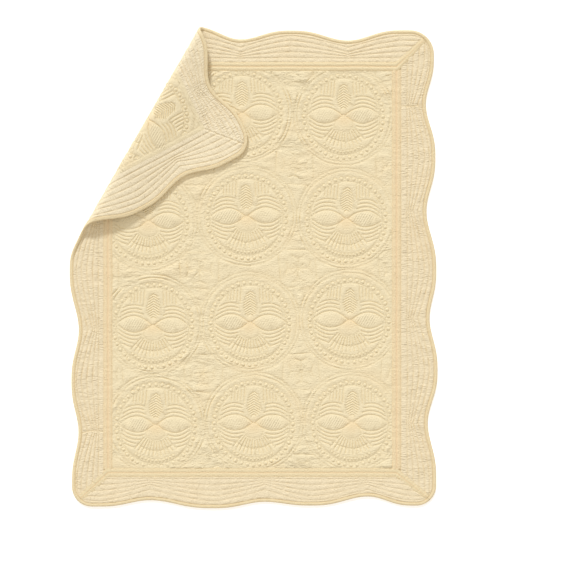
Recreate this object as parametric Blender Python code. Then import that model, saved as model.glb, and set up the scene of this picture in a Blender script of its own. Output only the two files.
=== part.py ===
"""Quilted cot blanket, lying face up with its top left corner folded over.

The cloth is described flat first, in metres: u to the right, v up the length,
h out of the front face. lay() then carries a flat point to its place: level on
the surface, round the bend, or on the turned-over corner.
"""
import math
from collections import namedtuple

import bpy
from mathutils import Vector
from mathutils.geometry import delaunay_2d_cdt

for old in list(bpy.data.objects):
    bpy.data.objects.remove(old, do_unlink=True)

# Overall sizes of the flat blanket
WIDTH = 0.912
LENGTH = 1.192
THICK = 0.005
MID = THICK / 2
GAP = 0.0003
CENTRE_X = -0.0015
CENTRE_Y = -0.0021

# The centre panel, its four seams and the strips sewn over them
SEAM_LEFT = -0.3625
SEAM_RIGHT = 0.3590
SEAM_TOP = 0.5050
SEAM_BOTTOM = -0.5100
TAPE_WIDTH = 0.020
MITRE_TAPE_WIDTH = 0.014
TAPE_BUTT = 0.001
MITRE_TAPE_STOP = 0.003
BED_MARGIN = 0.0006
BINDING_WIDTH = 0.009

# How finely lines are divided, and what quilting keeps clear of
EDGE_STEP = 0.022
EDGE_STEP_CORNER = 0.012
EDGE_STEP_BEND = 0.006
SEAM_STEP = 0.060
MITRE_STEP = 0.018
BED_STEP = 0.050
GUIDE_STEP = 0.030
NORMAL_STEP = 0.0002
RIM_CLEAR = 0.0025
BEND_CLEAR = 0.004
BED_CLEAR = 0.0025
MITRE_END_REACH = 0.020

# Heights over the middle of the cloth, on the front
PUFF = 0.0030
PLAIN = 0.0025
GROOVE = 0.0010
EDGE_RISE = 0.0016
TAPE_FOOT = 0.0013
TAPE_SIDE = 0.0022
TAPE_RIDGE = 0.0050
TAPE_DIP = 0.0030
BINDING_NOSE = 0.0010
BINDING_HEEL = -0.0013

# The corner fold: its line, bend and how the turned-over part lies
FOLD_ANGLE = math.radians(60)
FOLD_REACH = 0.4170
BEND_RADIUS = 0.0135
BEND_STEPS = 8
SKEW = 0.120
FLAP_HEIGHT = 0.0130
FLAP_FALL = 0.130
FLAP_DROOP = 0.0015
DROOP_REACH = 0.060
DROOP_START = 0.080
FLAP_LINES = 8
FLAP_LINE_PITCH = 0.015
BEND_START = FOLD_REACH - BEND_RADIUS - MID
BEND_ARC = math.pi * BEND_RADIUS
CURVED_END = BEND_START + BEND_ARC + FLAP_LINES * FLAP_LINE_PITCH
ALONG_FOLD = Vector((math.cos(FOLD_ANGLE), math.sin(FOLD_ANGLE)))
ACROSS_FOLD = Vector((-math.sin(FOLD_ANGLE), math.cos(FOLD_ANGLE)))

# Crests and valleys of the scalloped edge: place along the side, inset from the side line
Turn = namedtuple("Turn", "along inset")
TURNS = {
    "right": (
        Turn(-0.524, -0.0020),
        Turn(-0.386, 0.0187),
        Turn(-0.254, -0.0055),
        Turn(-0.124, 0.0142),
        Turn(-0.004, -0.0023),
        Turn(0.144, 0.0220),
        Turn(0.279, 0.0000),
        Turn(0.411, 0.0235),
        Turn(0.529, 0.0035),
    ),
    "top": (
        Turn(-0.395, -0.0050),
        Turn(-0.280, 0.0290),
        Turn(-0.159, -0.0100),
        Turn(-0.031, 0.0227),
        Turn(0.095, 0.0007),
        Turn(0.2375, 0.0255),
        Turn(0.3725, 0.0000),
    ),
    "left": (
        Turn(-0.536, 0.0032),
        Turn(-0.409, 0.0195),
        Turn(-0.281, 0.0020),
        Turn(-0.154, 0.0202),
        Turn(-0.004, -0.0025),
        Turn(0.114, 0.0250),
        Turn(0.270, -0.0060),
        Turn(0.404, 0.0175),
        Turn(0.522, -0.0020),
    ),
    "bottom": (
        Turn(-0.385, 0.0007),
        Turn(-0.2575, 0.0165),
        Turn(-0.100, -0.0035),
        Turn(0.030, 0.0125),
        Turn(0.145, 0.0032),
        Turn(0.2875, 0.0257),
        Turn(0.4025, 0.0030),
    ),
}
SCALLOP_POWER = 1.4

Corner = namedtuple("Corner", "upright level radius seam_u seam_v")
CORNERS = (
    Corner("right", "top", 0.060, SEAM_RIGHT, SEAM_TOP),
    Corner("left", "top", 0.049, SEAM_LEFT, SEAM_TOP),
    Corner("left", "bottom", 0.050, SEAM_LEFT, SEAM_BOTTOM),
    Corner("right", "bottom", 0.050, SEAM_RIGHT, SEAM_BOTTOM),
)
HALF = {"right": LENGTH / 2, "left": LENGTH / 2, "top": WIDTH / 2, "bottom": WIDTH / 2}
SEAM_INSET = {
    "right": WIDTH / 2 - SEAM_RIGHT,
    "left": WIDTH / 2 + SEAM_LEFT,
    "top": LENGTH / 2 - SEAM_TOP,
    "bottom": LENGTH / 2 + SEAM_BOTTOM,
}

# Stitched channels of the border: inset where a scallop crests and where two meet
Channel = namedtuple("Channel", "crest valley")
CHANNELS = (
    Channel(0.021, 0.037),
    Channel(0.031, 0.046),
    Channel(0.039, 0.054),
    Channel(0.051, 0.058),
    Channel(0.062, 0.062),
    Channel(0.071, 0.071),
)
CHANNEL_POWER = 1.7
CHANNEL_PITCH = 0.006
CHANNEL_CLEAR = 0.001
CHANNEL_END = 0.030

# Quilted roundels of the panel: centre of each, by column and row from the top left
Roundel = namedtuple("Roundel", "column row u v")
ROUNDELS = (
    Roundel(1, 1, -0.2800, 0.3850),
    Roundel(2, 1, -0.0275, 0.3900),
    Roundel(3, 1, 0.2270, 0.3835),
    Roundel(1, 2, -0.2620, 0.1200),
    Roundel(2, 2, -0.0158, 0.1325),
    Roundel(3, 2, 0.2338, 0.1258),
    Roundel(1, 3, -0.2500, -0.1400),
    Roundel(2, 3, -0.0075, -0.1338),
    Roundel(3, 3, 0.2412, -0.1275),
    Roundel(1, 4, -0.2432, -0.3888),
    Roundel(2, 4, 0.0022, -0.3840),
    Roundel(3, 4, 0.2475, -0.3838),
)
RINGS = ((0.098, GROOVE), (0.104, PUFF), (0.109, GROOVE), (0.114, PUFF), (0.120, GROOVE))
RING_STEPS = 20
LEAF_START = 0.008
LEAF_LENGTH = 0.077
LEAF_HALF = 0.020
LEAF_HEART = (0.3, 0.5, 0.7)
ECHO_PITCH = 0.009
ECHO_COUNT = 2
ECHO_START = 0.024
ECHO_START_BELOW = 0.026
ECHO_SPREAD_BELOW = 0.007
ECHO_END = 0.078
SPRIG_FOOT = 0.012
SPRIG_LENGTH = 0.072
SPRIG_HALF = 0.020
SPRIG_POWER = 0.8
SPRIG_SPINE = (0.25, 0.5, 0.75)
FAN_DROP = 0.010
FAN_INNER = 0.030
FAN_OUTER = 0.080
FAN_SPREAD = math.radians(42)
FAN_FLUTES = 4
DISC_WIDTH = 0.024
DISC_TOP = 0.004
DISC_DROP = 0.026
DISC_MIDDLE = 0.013
DISC_ENDS = 0.08
ROSETTE = 0.012
ROSETTE_PETALS = 6

CLOTH_COLOUR = (0.82, 0.70, 0.47, 1.0)
TRIM_COLOUR = (0.80, 0.65, 0.42, 1.0)


def smooth(x):
    x = min(max(x, 0.0), 1.0)
    return x * x * (3 - 2 * x)


def across(u, v):
    """Distance of a flat point from the middle, square to the fold line."""
    return u * ACROSS_FOLD.x + v * ACROSS_FOLD.y


def outside_seams(u, v):
    return max(SEAM_LEFT - u, u - SEAM_RIGHT, SEAM_BOTTOM - v, v - SEAM_TOP)


def middle(u, v):
    """Place of the middle of the cloth at a flat point."""
    s = across(u, v)
    t = u * ALONG_FOLD.x + v * ALONG_FOLD.y
    z = MID
    if s > BEND_START + BEND_ARC:
        w = s - BEND_START - BEND_ARC
        s = BEND_START - w
        t -= SKEW * w
        top = MID + 2 * BEND_RADIUS
        z = top + (FLAP_HEIGHT - top) * smooth(w / FLAP_FALL)
        z -= FLAP_DROOP * smooth(outside_seams(u, v) / DROOP_REACH) * smooth(w / DROOP_START)
    elif s > BEND_START:
        turn = (s - BEND_START) / BEND_RADIUS
        s = BEND_START + BEND_RADIUS * math.sin(turn)
        z = MID + BEND_RADIUS * (1 - math.cos(turn))
    flat = ACROSS_FOLD * s + ALONG_FOLD * t
    return Vector((flat.x + CENTRE_X, flat.y + CENTRE_Y, z))


def lay(u, v, h):
    """Place of a point h in front of the middle of the cloth."""
    if across(u, v) <= BEND_START:
        return Vector((u + CENTRE_X, v + CENTRE_Y, MID + h))
    du = middle(u + NORMAL_STEP, v) - middle(u - NORMAL_STEP, v)
    dv = middle(u, v + NORMAL_STEP) - middle(u, v - NORMAL_STEP)
    return middle(u, v) + du.cross(dv).normalized() * h


# The edge: each side is an inset worked out along it, with a round corner at both ends


def spot(side, along, inset):
    if side == "right":
        return Vector((WIDTH / 2 - inset, along))
    if side == "left":
        return Vector((inset - WIDTH / 2, along))
    if side == "top":
        return Vector((along, LENGTH / 2 - inset))
    return Vector((along, inset - LENGTH / 2))


def corner_at(side, end):
    for corner in CORNERS:
        other = corner.level if corner.upright == side else corner.upright
        if side not in (corner.upright, corner.level):
            continue
        if (other in ("right", "top")) == (end > 0):
            return corner, other
    raise ValueError("no such corner")


def corner_centre(side, end):
    """Distance from the middle of the side to the centre of its corner."""
    corner, other = corner_at(side, end)
    turns = TURNS[other]
    own_end = 1 if side in ("right", "top") else -1
    last = turns[-1] if own_end > 0 else turns[0]
    return HALF[side] - last.inset - corner.radius


def scallop_phase(side, along):
    """The crest and valley on both sides of a place, and how far it is to the valley."""
    turns = TURNS[side]
    if along <= turns[0].along:
        return turns[0], turns[0], 0.0
    if along >= turns[-1].along:
        return turns[-1], turns[-1], 0.0
    for low, high in zip(turns, turns[1:]):
        if low.along <= along <= high.along:
            break
    crest, valley = (low, high) if low.inset < high.inset else (high, low)
    return crest, valley, (along - crest.along) / (valley.along - crest.along)


def edge_inset(side, along):
    crest, valley, phase = scallop_phase(side, along)
    dip = ((1 - math.cos(math.pi * phase)) / 2) ** SCALLOP_POWER
    inset = crest.inset + (valley.inset - crest.inset) * dip
    end = 1 if along > 0 else -1
    corner, _ = corner_at(side, end)
    past = abs(along) - corner_centre(side, end)
    if past > 0:
        inset += corner.radius - math.sqrt(max(corner.radius ** 2 - past ** 2, 0.0))
    return inset


def corner_stop(side, end):
    corner, _ = corner_at(side, end)
    return end * (corner_centre(side, end) + corner.radius * math.sqrt(0.5))


def channel_inset(side, along, channel, order):
    _, _, phase = scallop_phase(side, along)
    inset = channel.crest + (channel.valley - channel.crest) * phase ** CHANNEL_POWER
    crowded = edge_inset(side, along) + BINDING_WIDTH + CHANNEL_PITCH * (order + 1)
    return max(inset, crowded)


def near_bend(point):
    past = across(point.x, point.y) - BEND_START
    return -EDGE_STEP_BEND < past < BEND_ARC + EDGE_STEP_BEND


SIDES = (("right", 1), ("top", -1), ("left", -1), ("bottom", 1))


def edge_step(side, along):
    if near_bend(spot(side, along, edge_inset(side, along))):
        return EDGE_STEP_BEND
    if abs(along) > corner_centre(side, 1 if along > 0 else -1) - EDGE_STEP_CORNER:
        return EDGE_STEP_CORNER
    return EDGE_STEP


def side_stops(side, direction):
    """Places along one side where the edge has a point, closer together in the bend."""
    start = corner_stop(side, -direction)
    end = corner_stop(side, direction)
    stops = [start]
    while (end - stops[-1]) * direction > 1e-6:
        step = edge_step(side, stops[-1])
        if abs(end - stops[-1]) < step * 1.5:
            stops.append(end)
        else:
            stops.append(stops[-1] + direction * step)
    return stops


def rim():
    """Points round the outline with their inward normals, and where each side's run starts."""
    points = []
    starts = {}
    for side, direction in SIDES:
        starts[side] = len(points)
        for along in side_stops(side, direction)[:-1]:
            points.append(spot(side, along, edge_inset(side, along)))
    count = len(points)
    rows = []
    for i, point in enumerate(points):
        run = points[(i + 1) % count] - points[i - 1]
        inward = Vector((-run.y, run.x)).normalized()
        rows.append((point, inward))
    return rows, starts


RIM, RIM_STARTS = rim()


def rim_run(side, inset):
    """The rim's points along one side, corner to corner, moved inwards."""
    order = [name for name, _ in SIDES]
    following = order[(order.index(side) + 1) % 4]
    first = RIM_STARTS[side]
    last = RIM_STARTS[following] or len(RIM)
    rows = RIM[first:last] + [RIM[last % len(RIM)]]
    return [point + inward * inset for point, inward in rows]


def seam_run(start, end, spacing=SEAM_STEP):
    """Points from one end of a seam to the other, with one wherever the cloth bends."""
    run = end - start
    length = run.length
    marks = {0.0, 1.0}
    count = max(int(length / spacing), 1)
    for i in range(1, count):
        point = start + run * (i / count)
        if not BEND_START - 0.002 < across(point.x, point.y) < CURVED_END + 0.002:
            marks.add(i / count)
    slope = across(end.x, end.y) - across(start.x, start.y)
    if abs(slope) > 1e-6:
        for line in fold_lines():
            mark = (line - across(start.x, start.y)) / slope
            if 0 < mark < 1:
                marks.add(mark)
    kept = []
    for mark in sorted(marks):
        if kept and (mark - kept[-1]) * length < 0.002:
            continue
        kept.append(mark)
    kept[-1] = 1.0
    return [start + run * mark for mark in kept]


def fold_lines():
    bend = [BEND_START + BEND_ARC * i / BEND_STEPS for i in range(BEND_STEPS + 1)]
    flap = [bend[-1] + FLAP_LINE_PITCH * (i + 1) for i in range(FLAP_LINES)]
    return bend + flap


# Building one closed sheet from its outline and the lines raised or sunk in its two faces


def gap_to_segment(point, start, end):
    run = end - start
    mark = min(max((point - start).dot(run) / run.length_squared, 0.0), 1.0)
    return (start + run * mark - point).length


def gap_to_loop(point, loop):
    return min(gap_to_segment(point, loop[i - 1], loop[i]) for i in range(len(loop)))


def inside(point, loop):
    odd = False
    for i in range(len(loop)):
        a = loop[i - 1]
        b = loop[i]
        if (a.y > point.y) != (b.y > point.y):
            if point.x < a.x + (b.x - a.x) * (point.y - a.y) / (b.y - a.y):
                odd = not odd
    return odd


def mitre_lines():
    lines = []
    for corner in CORNERS:
        end = 1 if corner.level == "top" else -1
        tip = corner_stop(corner.upright, end)
        outer = spot(corner.upright, tip, edge_inset(corner.upright, tip))
        lines.append((Vector((corner.seam_u, corner.seam_v)), outer))
    return lines


MITRES = mitre_lines()
SEAM_LOOP = [
    Vector((SEAM_LEFT, SEAM_BOTTOM)),
    Vector((SEAM_RIGHT, SEAM_BOTTOM)),
    Vector((SEAM_RIGHT, SEAM_TOP)),
    Vector((SEAM_LEFT, SEAM_TOP)),
]
SEAM_BED = TAPE_WIDTH / 2 + BED_MARGIN


def in_bed(point, spare):
    """True where a sewn-on strip covers the cloth."""
    if gap_to_loop(point, SEAM_LOOP) < SEAM_BED + spare:
        return True
    return any(gap_to_segment(point, a, b) < SEAM_BED + spare for a, b in MITRES)


def near_mitre(point):
    """True at the rim beside the end of a mitre strip, so the cloth stays low there."""
    return any(gap_to_segment(point, a, b) < MITRE_END_REACH for a, b in MITRES)


def front_height(point):
    return GROOVE if in_bed(point, BED_MARGIN) else PLAIN


def back_height(_point):
    return -MID


def shrink(loop, by):
    """A loop, counterclockwise, moved inwards by the same distance everywhere."""
    moved = []
    for i, point in enumerate(loop):
        before = (point - loop[i - 1]).normalized()
        after = (loop[(i + 1) % len(loop)] - point).normalized()
        left_before = Vector((-before.y, before.x))
        left_after = Vector((-after.y, after.x))
        both = left_before + left_after
        moved.append(point + both * (by * 2 / both.length_squared))
    return moved


def triangulate(loop, lines, height, rim_heights=None):
    """Triangles of one face: the outline, and lines that stay as edges in it."""
    points = list(loop)
    heights = rim_heights or [height(point) for point in loop]
    edges = [(i, (i + 1) % len(loop)) for i in range(len(loop))]
    for line, closed in lines:
        first = len(points)
        for u, v, h in line:
            points.append(Vector((u, v)))
            heights.append(h)
        edges += [(first + i, first + i + 1) for i in range(len(line) - 1)]
        if closed and len(line) > 2:
            edges.append((len(points) - 1, first))
    flat, _, faces, sources, _, _ = delaunay_2d_cdt(points, edges, [], 1, 1e-6, True)
    out = []
    place = {}
    for i, point in enumerate(flat):
        known = [heights[k] for k in sources[i]]
        for k in sources[i]:
            place[k] = i
        out.append((point.x, point.y, min(known) if known else height(point)))
    rim_order = [place[i] for i in range(len(loop))]
    on_rim = set(rim_order)
    triangles = []
    for face in faces:
        a, b, c = (flat[k] for k in face)
        twice_area = (b - a).cross(c - a)
        if not inside((a + b + c) / 3, loop):
            continue
        if abs(twice_area) < 1e-8 and on_rim.issuperset(face):
            continue
        triangles.append(tuple(face) if twice_area > 0 else tuple(face[::-1]))
    return out, triangles, rim_order


def last_allowed(good, bad, allowed):
    """The furthest allowed point from a good one towards a bad one."""
    near = Vector(good)
    far = Vector(bad)
    for _ in range(10):
        half = (near + far) / 2
        if allowed(Vector((half.x, half.y))):
            near = half
        else:
            far = half
    return tuple(near)


def stretch_to_limits(line, allowed):
    """A line with a point added wherever it passes from allowed to not allowed."""
    out = []
    for i, point in enumerate(line):
        if i:
            before = line[i - 1]
            fine = [allowed(Vector(p[:2])) for p in (before, point)]
            if fine[0] != fine[1]:
                good, bad = (before, point) if fine[0] else (point, before)
                limit = last_allowed(good, bad, allowed)
                if (Vector(limit[:2]) - Vector(good[:2])).length > 0.001:
                    out.append(limit)
        out.append(point)
    return out


def clip(lines, allowed, to_limits=False):
    """The stretches of the lines whose points are allowed."""
    if to_limits:
        lines = [(stretch_to_limits(line, allowed), closed) for line, closed in lines]
    kept = []
    for line, closed in lines:
        good = [allowed(Vector((u, v))) for u, v, h in line]
        if all(good):
            kept.append((line, closed))
            continue
        run = []
        ring = list(zip(line, good))
        if closed and False in good:
            turn = good.index(False)
            ring = ring[turn:] + ring[:turn]
        for point, fine in ring + [(None, False)]:
            if fine:
                run.append(point)
            elif run:
                kept.append((run, False))
                run = []
    return kept


def fold_guides(loop, height, clear):
    """Lines along the bend and the start of the turned-over part, inside an outline."""
    t_values = [p.dot(ALONG_FOLD) for p in loop]
    low = min(t_values)
    high = max(t_values)
    count = int((high - low) / GUIDE_STEP)
    guides = []
    for s in fold_lines():
        line = []
        for i in range(count + 1):
            point = ACROSS_FOLD * s + ALONG_FOLD * (low + (high - low) * i / count)
            line.append((point.x, point.y, PLAIN))
        guides.append((line, False))
    guides = clip(guides, clear, True)
    return [([(u, v, height(Vector((u, v)))) for u, v, _ in line], False) for line, _ in guides]


def sheet(name, loop, front, back, material):
    """One closed piece of quilted cloth."""

    def clear(point):
        return inside(point, loop) and gap_to_loop(point, loop) > RIM_CLEAR

    def on_front(point):
        return clear(point) and across(point.x, point.y) < BEND_START - BEND_CLEAR

    def on_back(point):
        return clear(point) and across(point.x, point.y) > BEND_START + BEND_ARC + BEND_CLEAR

    beds = clip(bed_lines(), clear, True)
    quilting = clip(front, on_front)
    reverse = []
    for line, closed in clip(back, on_back):
        reverse.append(([(u, v, PUFF - MID - h) for u, v, h in line], closed))
    rim_heights = [GROOVE if near_mitre(point) else front_height(point) for point in loop]
    guides = fold_guides(loop, front_height, clear)
    top = triangulate(loop, beds + quilting + guides, front_height, rim_heights)
    under = triangulate(loop, reverse + fold_guides(loop, back_height, clear), back_height)
    mesh_points = []
    for u, v, h in top[0]:
        mesh_points.append(lay(u, v, h))
    offset = len(mesh_points)
    for u, v, h in under[0]:
        mesh_points.append(lay(u, v, h))
    faces = list(top[1])
    faces += [tuple(offset + k for k in face[::-1]) for face in under[1]]
    count = len(loop)
    for i in range(count):
        j = (i + 1) % count
        a, b = top[2][i], top[2][j]
        c, d = offset + under[2][i], offset + under[2][j]
        faces += split_wall((a, c, d, b), leans(loop[i], loop[j]))
    return add_object(name, mesh_points, faces, material)


def leans(start, end):
    """Which way a wall's two triangles meet, the same on both sides of a seam."""
    return across(start.x, start.y) < across(end.x, end.y)


def split_wall(quad, rising):
    """Two triangles of a wall given as near top, near foot, far foot and far top."""
    a, c, d, b = quad
    if rising:
        return [(a, c, b), (c, d, b)]
    return [(a, c, d), (a, d, b)]


def add_object(name, points, faces, material):
    mesh = bpy.data.meshes.new(name)
    mesh.from_pydata([tuple(p) for p in points], [], faces)
    mesh.materials.append(material)
    mesh.shade_smooth()
    mesh.set_sharp_from_angle(angle=math.radians(40))
    obj = bpy.data.objects.new(name, mesh)
    bpy.context.scene.collection.objects.link(obj)
    return obj


def bed_lines():
    """Edges of the low ground that the sewn-on strips cover."""
    lines = []
    for start, end in bed_edges():
        run = end - start
        steps = max(int(run.length / BED_STEP), 1)
        line = []
        for i in range(steps + 1):
            point = start + run * (i / steps)
            line.append((point.x, point.y, GROOVE))
        lines.append((line, False))
    return lines


def bed_edges():
    edges = []
    for i in range(4):
        a = SEAM_LOOP[i]
        b = SEAM_LOOP[(i + 1) % 4]
        run = (b - a).normalized()
        inward = Vector((-run.y, run.x))
        for side in (-SEAM_BED, SEAM_BED):
            back = run * side
            edges.append((a + inward * side + back, b + inward * side - back))
    for a, b in MITRES:
        run = (b - a).normalized()
        left = Vector((-run.y, run.x))
        for side in (-SEAM_BED, SEAM_BED):
            edges.append((a + left * side, b + left * side))
    return edges


# Quilting of the panel


def line_of(points, centre, height):
    return [(centre[0] + x, centre[1] + y, height) for x, y in points]


def roundel(centre):
    """Rings, two leaves with echo lines, an upright sprig, a disc and a fan."""
    lines = []
    for radius, height in RINGS:
        ring = []
        for i in range(RING_STEPS):
            angle = 2 * math.pi * i / RING_STEPS
            ring.append((radius * math.cos(angle), radius * math.sin(angle)))
        lines.append((line_of(ring, centre, height), True))
    for way in (-1, 1):
        lines += leaf(centre, way)
    lines += sprig(centre)
    lines += fan(centre)
    return lines


def leaf_rise(x):
    """Half height of a leaf at a place along it."""
    t = (x - LEAF_START - LEAF_LENGTH / 2) / (LEAF_LENGTH / 2)
    return LEAF_HALF * (1 - t * t)


def leaf(centre, way):
    lines = []
    stops = [LEAF_START + LEAF_LENGTH * i / 4 for i in range(5)]
    outline = [(way * x, leaf_rise(x)) for x in stops]
    outline += [(way * x, -leaf_rise(x)) for x in stops[-2:0:-1]]
    lines.append((line_of(outline, centre, GROOVE), True))
    heart = [(way * (LEAF_START + LEAF_LENGTH * part), 0.0) for part in LEAF_HEART]
    lines.append((line_of(heart, centre, PUFF), False))
    for upper in (-1, 1):
        for k in range(1, 2 * ECHO_COUNT + 1):
            height = GROOVE if k % 2 == 0 else PUFF
            rise = ECHO_PITCH * k / 2
            first = ECHO_START if upper > 0 else ECHO_START_BELOW + ECHO_SPREAD_BELOW * k / 2
            echo = []
            for i in range(4):
                x = first + (ECHO_END - first) * i / 3
                echo.append((way * x, upper * (leaf_rise(x) + rise)))
            lines.append((line_of(echo, centre, height), False))
    return lines


def sprig(centre):
    """An upright pointed leaf: its outline and its raised spine."""
    right = []
    left = []
    spine = []
    for part in SPRIG_SPINE:
        half = SPRIG_HALF * math.sin(math.pi * part) ** SPRIG_POWER
        rise = SPRIG_FOOT + SPRIG_LENGTH * part
        right.append((half, rise))
        left.append((-half, rise))
        spine.append((0.0, rise))
    outline = [(0.0, SPRIG_FOOT)] + right + [(0.0, SPRIG_FOOT + SPRIG_LENGTH)] + left[::-1]
    return [
        (line_of(outline, centre, GROOVE), True),
        (line_of(spine, centre, PUFF), False),
    ]


def fan(centre):
    lines = []
    disc = []
    for i in range(5):
        angle = math.pi * (DISC_ENDS + (1 - 2 * DISC_ENDS) * i / 4)
        drop = DISC_TOP + (DISC_DROP - DISC_TOP) * math.sin(angle)
        disc.append((DISC_WIDTH * math.cos(angle), -drop))
    lines.append((line_of(disc, centre, GROOVE), False))
    lines.append((line_of([(0.0, -DISC_MIDDLE)], centre, PUFF), False))
    for i in range(2 * FAN_FLUTES + 1):
        angle = FAN_SPREAD * (i / FAN_FLUTES - 1)
        height = GROOVE if i % 2 == 0 else PUFF
        flute = []
        for radius in (FAN_INNER, FAN_OUTER):
            flute.append((radius * math.sin(angle), -FAN_DROP - radius * math.cos(angle)))
        lines.append((line_of(flute, centre, height), False))
    return lines


def rosette(centre):
    petals = []
    for i in range(ROSETTE_PETALS):
        angle = 2 * math.pi * (i + 0.5) / ROSETTE_PETALS
        petals.append((ROSETTE * math.cos(angle), ROSETTE * math.sin(angle)))
    return [
        (line_of(petals, centre, GROOVE), True),
        (line_of([(0.0, 0.0)], centre, PUFF), False),
    ]


def panel_lines():
    lines = []
    for item in ROUNDELS:
        lines += roundel((item.u, item.v))
    places = {(item.column, item.row): Vector((item.u, item.v)) for item in ROUNDELS}
    for column in (1, 2):
        for row in (1, 2, 3):
            square = [places[column + i, row + j] for i in (0, 1) for j in (0, 1)]
            middle_point = sum(square, Vector((0.0, 0.0))) / 4
            lines += rosette((middle_point.x, middle_point.y))
    return lines


# Quilting of the border


def border_lines(side):
    """Stitched channels that follow the scallops, with a rounded rib between each two."""
    turns = TURNS[side]
    stops = [corner_stop(side, -1), turns[0].along - CHANNEL_END]
    for low, high in zip(turns, turns[1:]):
        stops += [low.along + (high.along - low.along) * i / 3 for i in range(3)]
    stops += [turns[-1].along, turns[-1].along + CHANNEL_END, corner_stop(side, 1)]
    rows = [[] for _ in range(2 * len(CHANNELS) + 1)]
    for along in stops:
        before = edge_inset(side, along) + BINDING_WIDTH + CHANNEL_CLEAR
        for order, channel in enumerate(CHANNELS):
            inset = channel_inset(side, along, channel, order)
            rib = (before + inset) / 2
            for row, where, height in ((2 * order, rib, PUFF), (2 * order + 1, inset, GROOVE)):
                point = spot(side, along, where)
                rows[row].append((point.x, point.y, height))
            before = inset
        last = spot(side, along, (before + SEAM_INSET[side] - SEAM_BED) / 2)
        rows[-1].append((last.x, last.y, PUFF))
    return [(row, False) for row in rows]


def border_loop(side):
    """Outline of one border: rim, mitre, seam and mitre, counterclockwise."""
    outer = rim_run(side, BINDING_WIDTH + GAP / 2)
    first_seam, last_seam = side_seam(side, outer)
    towards = seam_run(outer[-1], last_seam, MITRE_STEP)
    along = seam_run(last_seam, first_seam)
    away = seam_run(first_seam, outer[0], MITRE_STEP)
    loop = outer + towards[1:] + along[1:] + away[1:-1]
    return shrink(loop, GAP / 2)


def side_seam(side, outer):
    ends = [Vector((c.seam_u, c.seam_v)) for c in CORNERS if side in (c.upright, c.level)]
    ends.sort(key=lambda end: (end - outer[0]).length)
    return ends[0], ends[1]


def panel_loop():
    loop = []
    for i in range(4):
        loop += seam_run(SEAM_LOOP[i], SEAM_LOOP[(i + 1) % 4])[:-1]
    return shrink(loop, GAP / 2)


# The strips sewn over the seams, and the edge binding


def swept(name, rows, closed, material, rising=None):
    """A tube of the given sections, one for each row, with flat ends."""
    size = len(rows[0])
    points = [p for row in rows for p in row]
    faces = []
    count = len(rows)
    for i in range(count if closed else count - 1):
        j = (i + 1) % count
        for k in range(size):
            m = (k + 1) % size
            a, b, c, d = i * size + k, i * size + m, j * size + m, j * size + k
            faces += split_wall((b, c, d, a), rising is None or rising[i])
    if not closed:
        for k in range(1, size - 1):
            faces.append((0, k + 1, k))
            last = (count - 1) * size
            faces.append((last, last + k, last + k + 1))
    return add_object(name, points, faces, material)


TAPE_SECTION = (
    (-1.00, TAPE_FOOT),
    (1.00, TAPE_FOOT),
    (1.00, TAPE_SIDE),
    (0.55, TAPE_RIDGE),
    (0.00, TAPE_DIP),
    (-0.55, TAPE_RIDGE),
    (-1.00, TAPE_SIDE),
)


def tape(name, route, material):
    """A double-ridged strip along a route of points, each with the strip's width there."""
    rows = []
    for i in range(len(route) - 1):
        start, start_width = route[i]
        end, end_width = route[i + 1]
        run = (end - start).normalized()
        side = Vector((-run.y, run.x))
        begin_cut = cut_line(route, i)
        end_cut = cut_line(route, i + 1)
        marks = seam_run(start, end, SEAM_STEP if start_width == end_width else MITRE_STEP)
        length = (end - start).length
        for number, mark in enumerate(marks):
            if number == 0 and i > 0:
                continue
            far = (mark - start).length / length
            width = start_width + (end_width - start_width) * far
            row = []
            for offset, height in TAPE_SECTION:
                shift = offset * width / 2
                if number == 0:
                    point = start + begin_cut * shift
                elif number == len(marks) - 1:
                    point = end + end_cut * shift
                else:
                    point = slanted(mark, run, side, shift)
                row.append(lay(point.x, point.y, height))
            rows.append(row)
    return swept(name, rows, False, material)


def cut_line(route, i):
    """Direction across the strip at a corner of its route, scaled to keep its width."""
    sides = []
    for a, b in ((i - 1, i), (i, i + 1)):
        if a >= 0 and b < len(route):
            run = (route[b][0] - route[a][0]).normalized()
            sides.append(Vector((-run.y, run.x)))
    both = sides[0] + sides[-1]
    return both * (2 / both.length_squared)


def slanted(mark, run, side, shift):
    """A point beside the strip's middle: on the same fold line where the cloth bends."""
    s = across(mark.x, mark.y)
    if not BEND_START - 1e-6 < s < CURVED_END + 1e-6:
        return mark + side * shift
    drift = across(side.x, side.y) / across(run.x, run.y)
    return mark + (side - run * drift) * shift


BINDING_SECTION = (
    (1.00, EDGE_RISE),
    (0.45, PUFF),
    (0.00, BINDING_NOSE),
    (0.00, BINDING_HEEL),
    (0.45, -MID),
    (1.00, -MID),
)


def binding(name, material):
    rows = []
    for point, inward in RIM:
        row = []
        for reach, height in BINDING_SECTION:
            place = point + inward * (reach * BINDING_WIDTH)
            row.append(lay(place.x, place.y, height))
        rows.append(row)
    rising = [leans(RIM[i][0], RIM[(i + 1) % len(RIM)][0]) for i in range(len(RIM))]
    return swept(name, rows, True, material, rising)


def mitre_end(corner_index):
    start, outer = MITRES[corner_index]
    run = (start - outer).normalized()
    return outer + run * (BINDING_WIDTH + MITRE_TAPE_STOP)


def finish(name, colour, roughness):
    material = bpy.data.materials.new(name)
    material.use_nodes = True
    shader = material.node_tree.nodes["Principled BSDF"]
    shader.inputs["Base Color"].default_value = colour
    shader.inputs["Roughness"].default_value = roughness
    material.diffuse_color = colour
    return material


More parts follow.
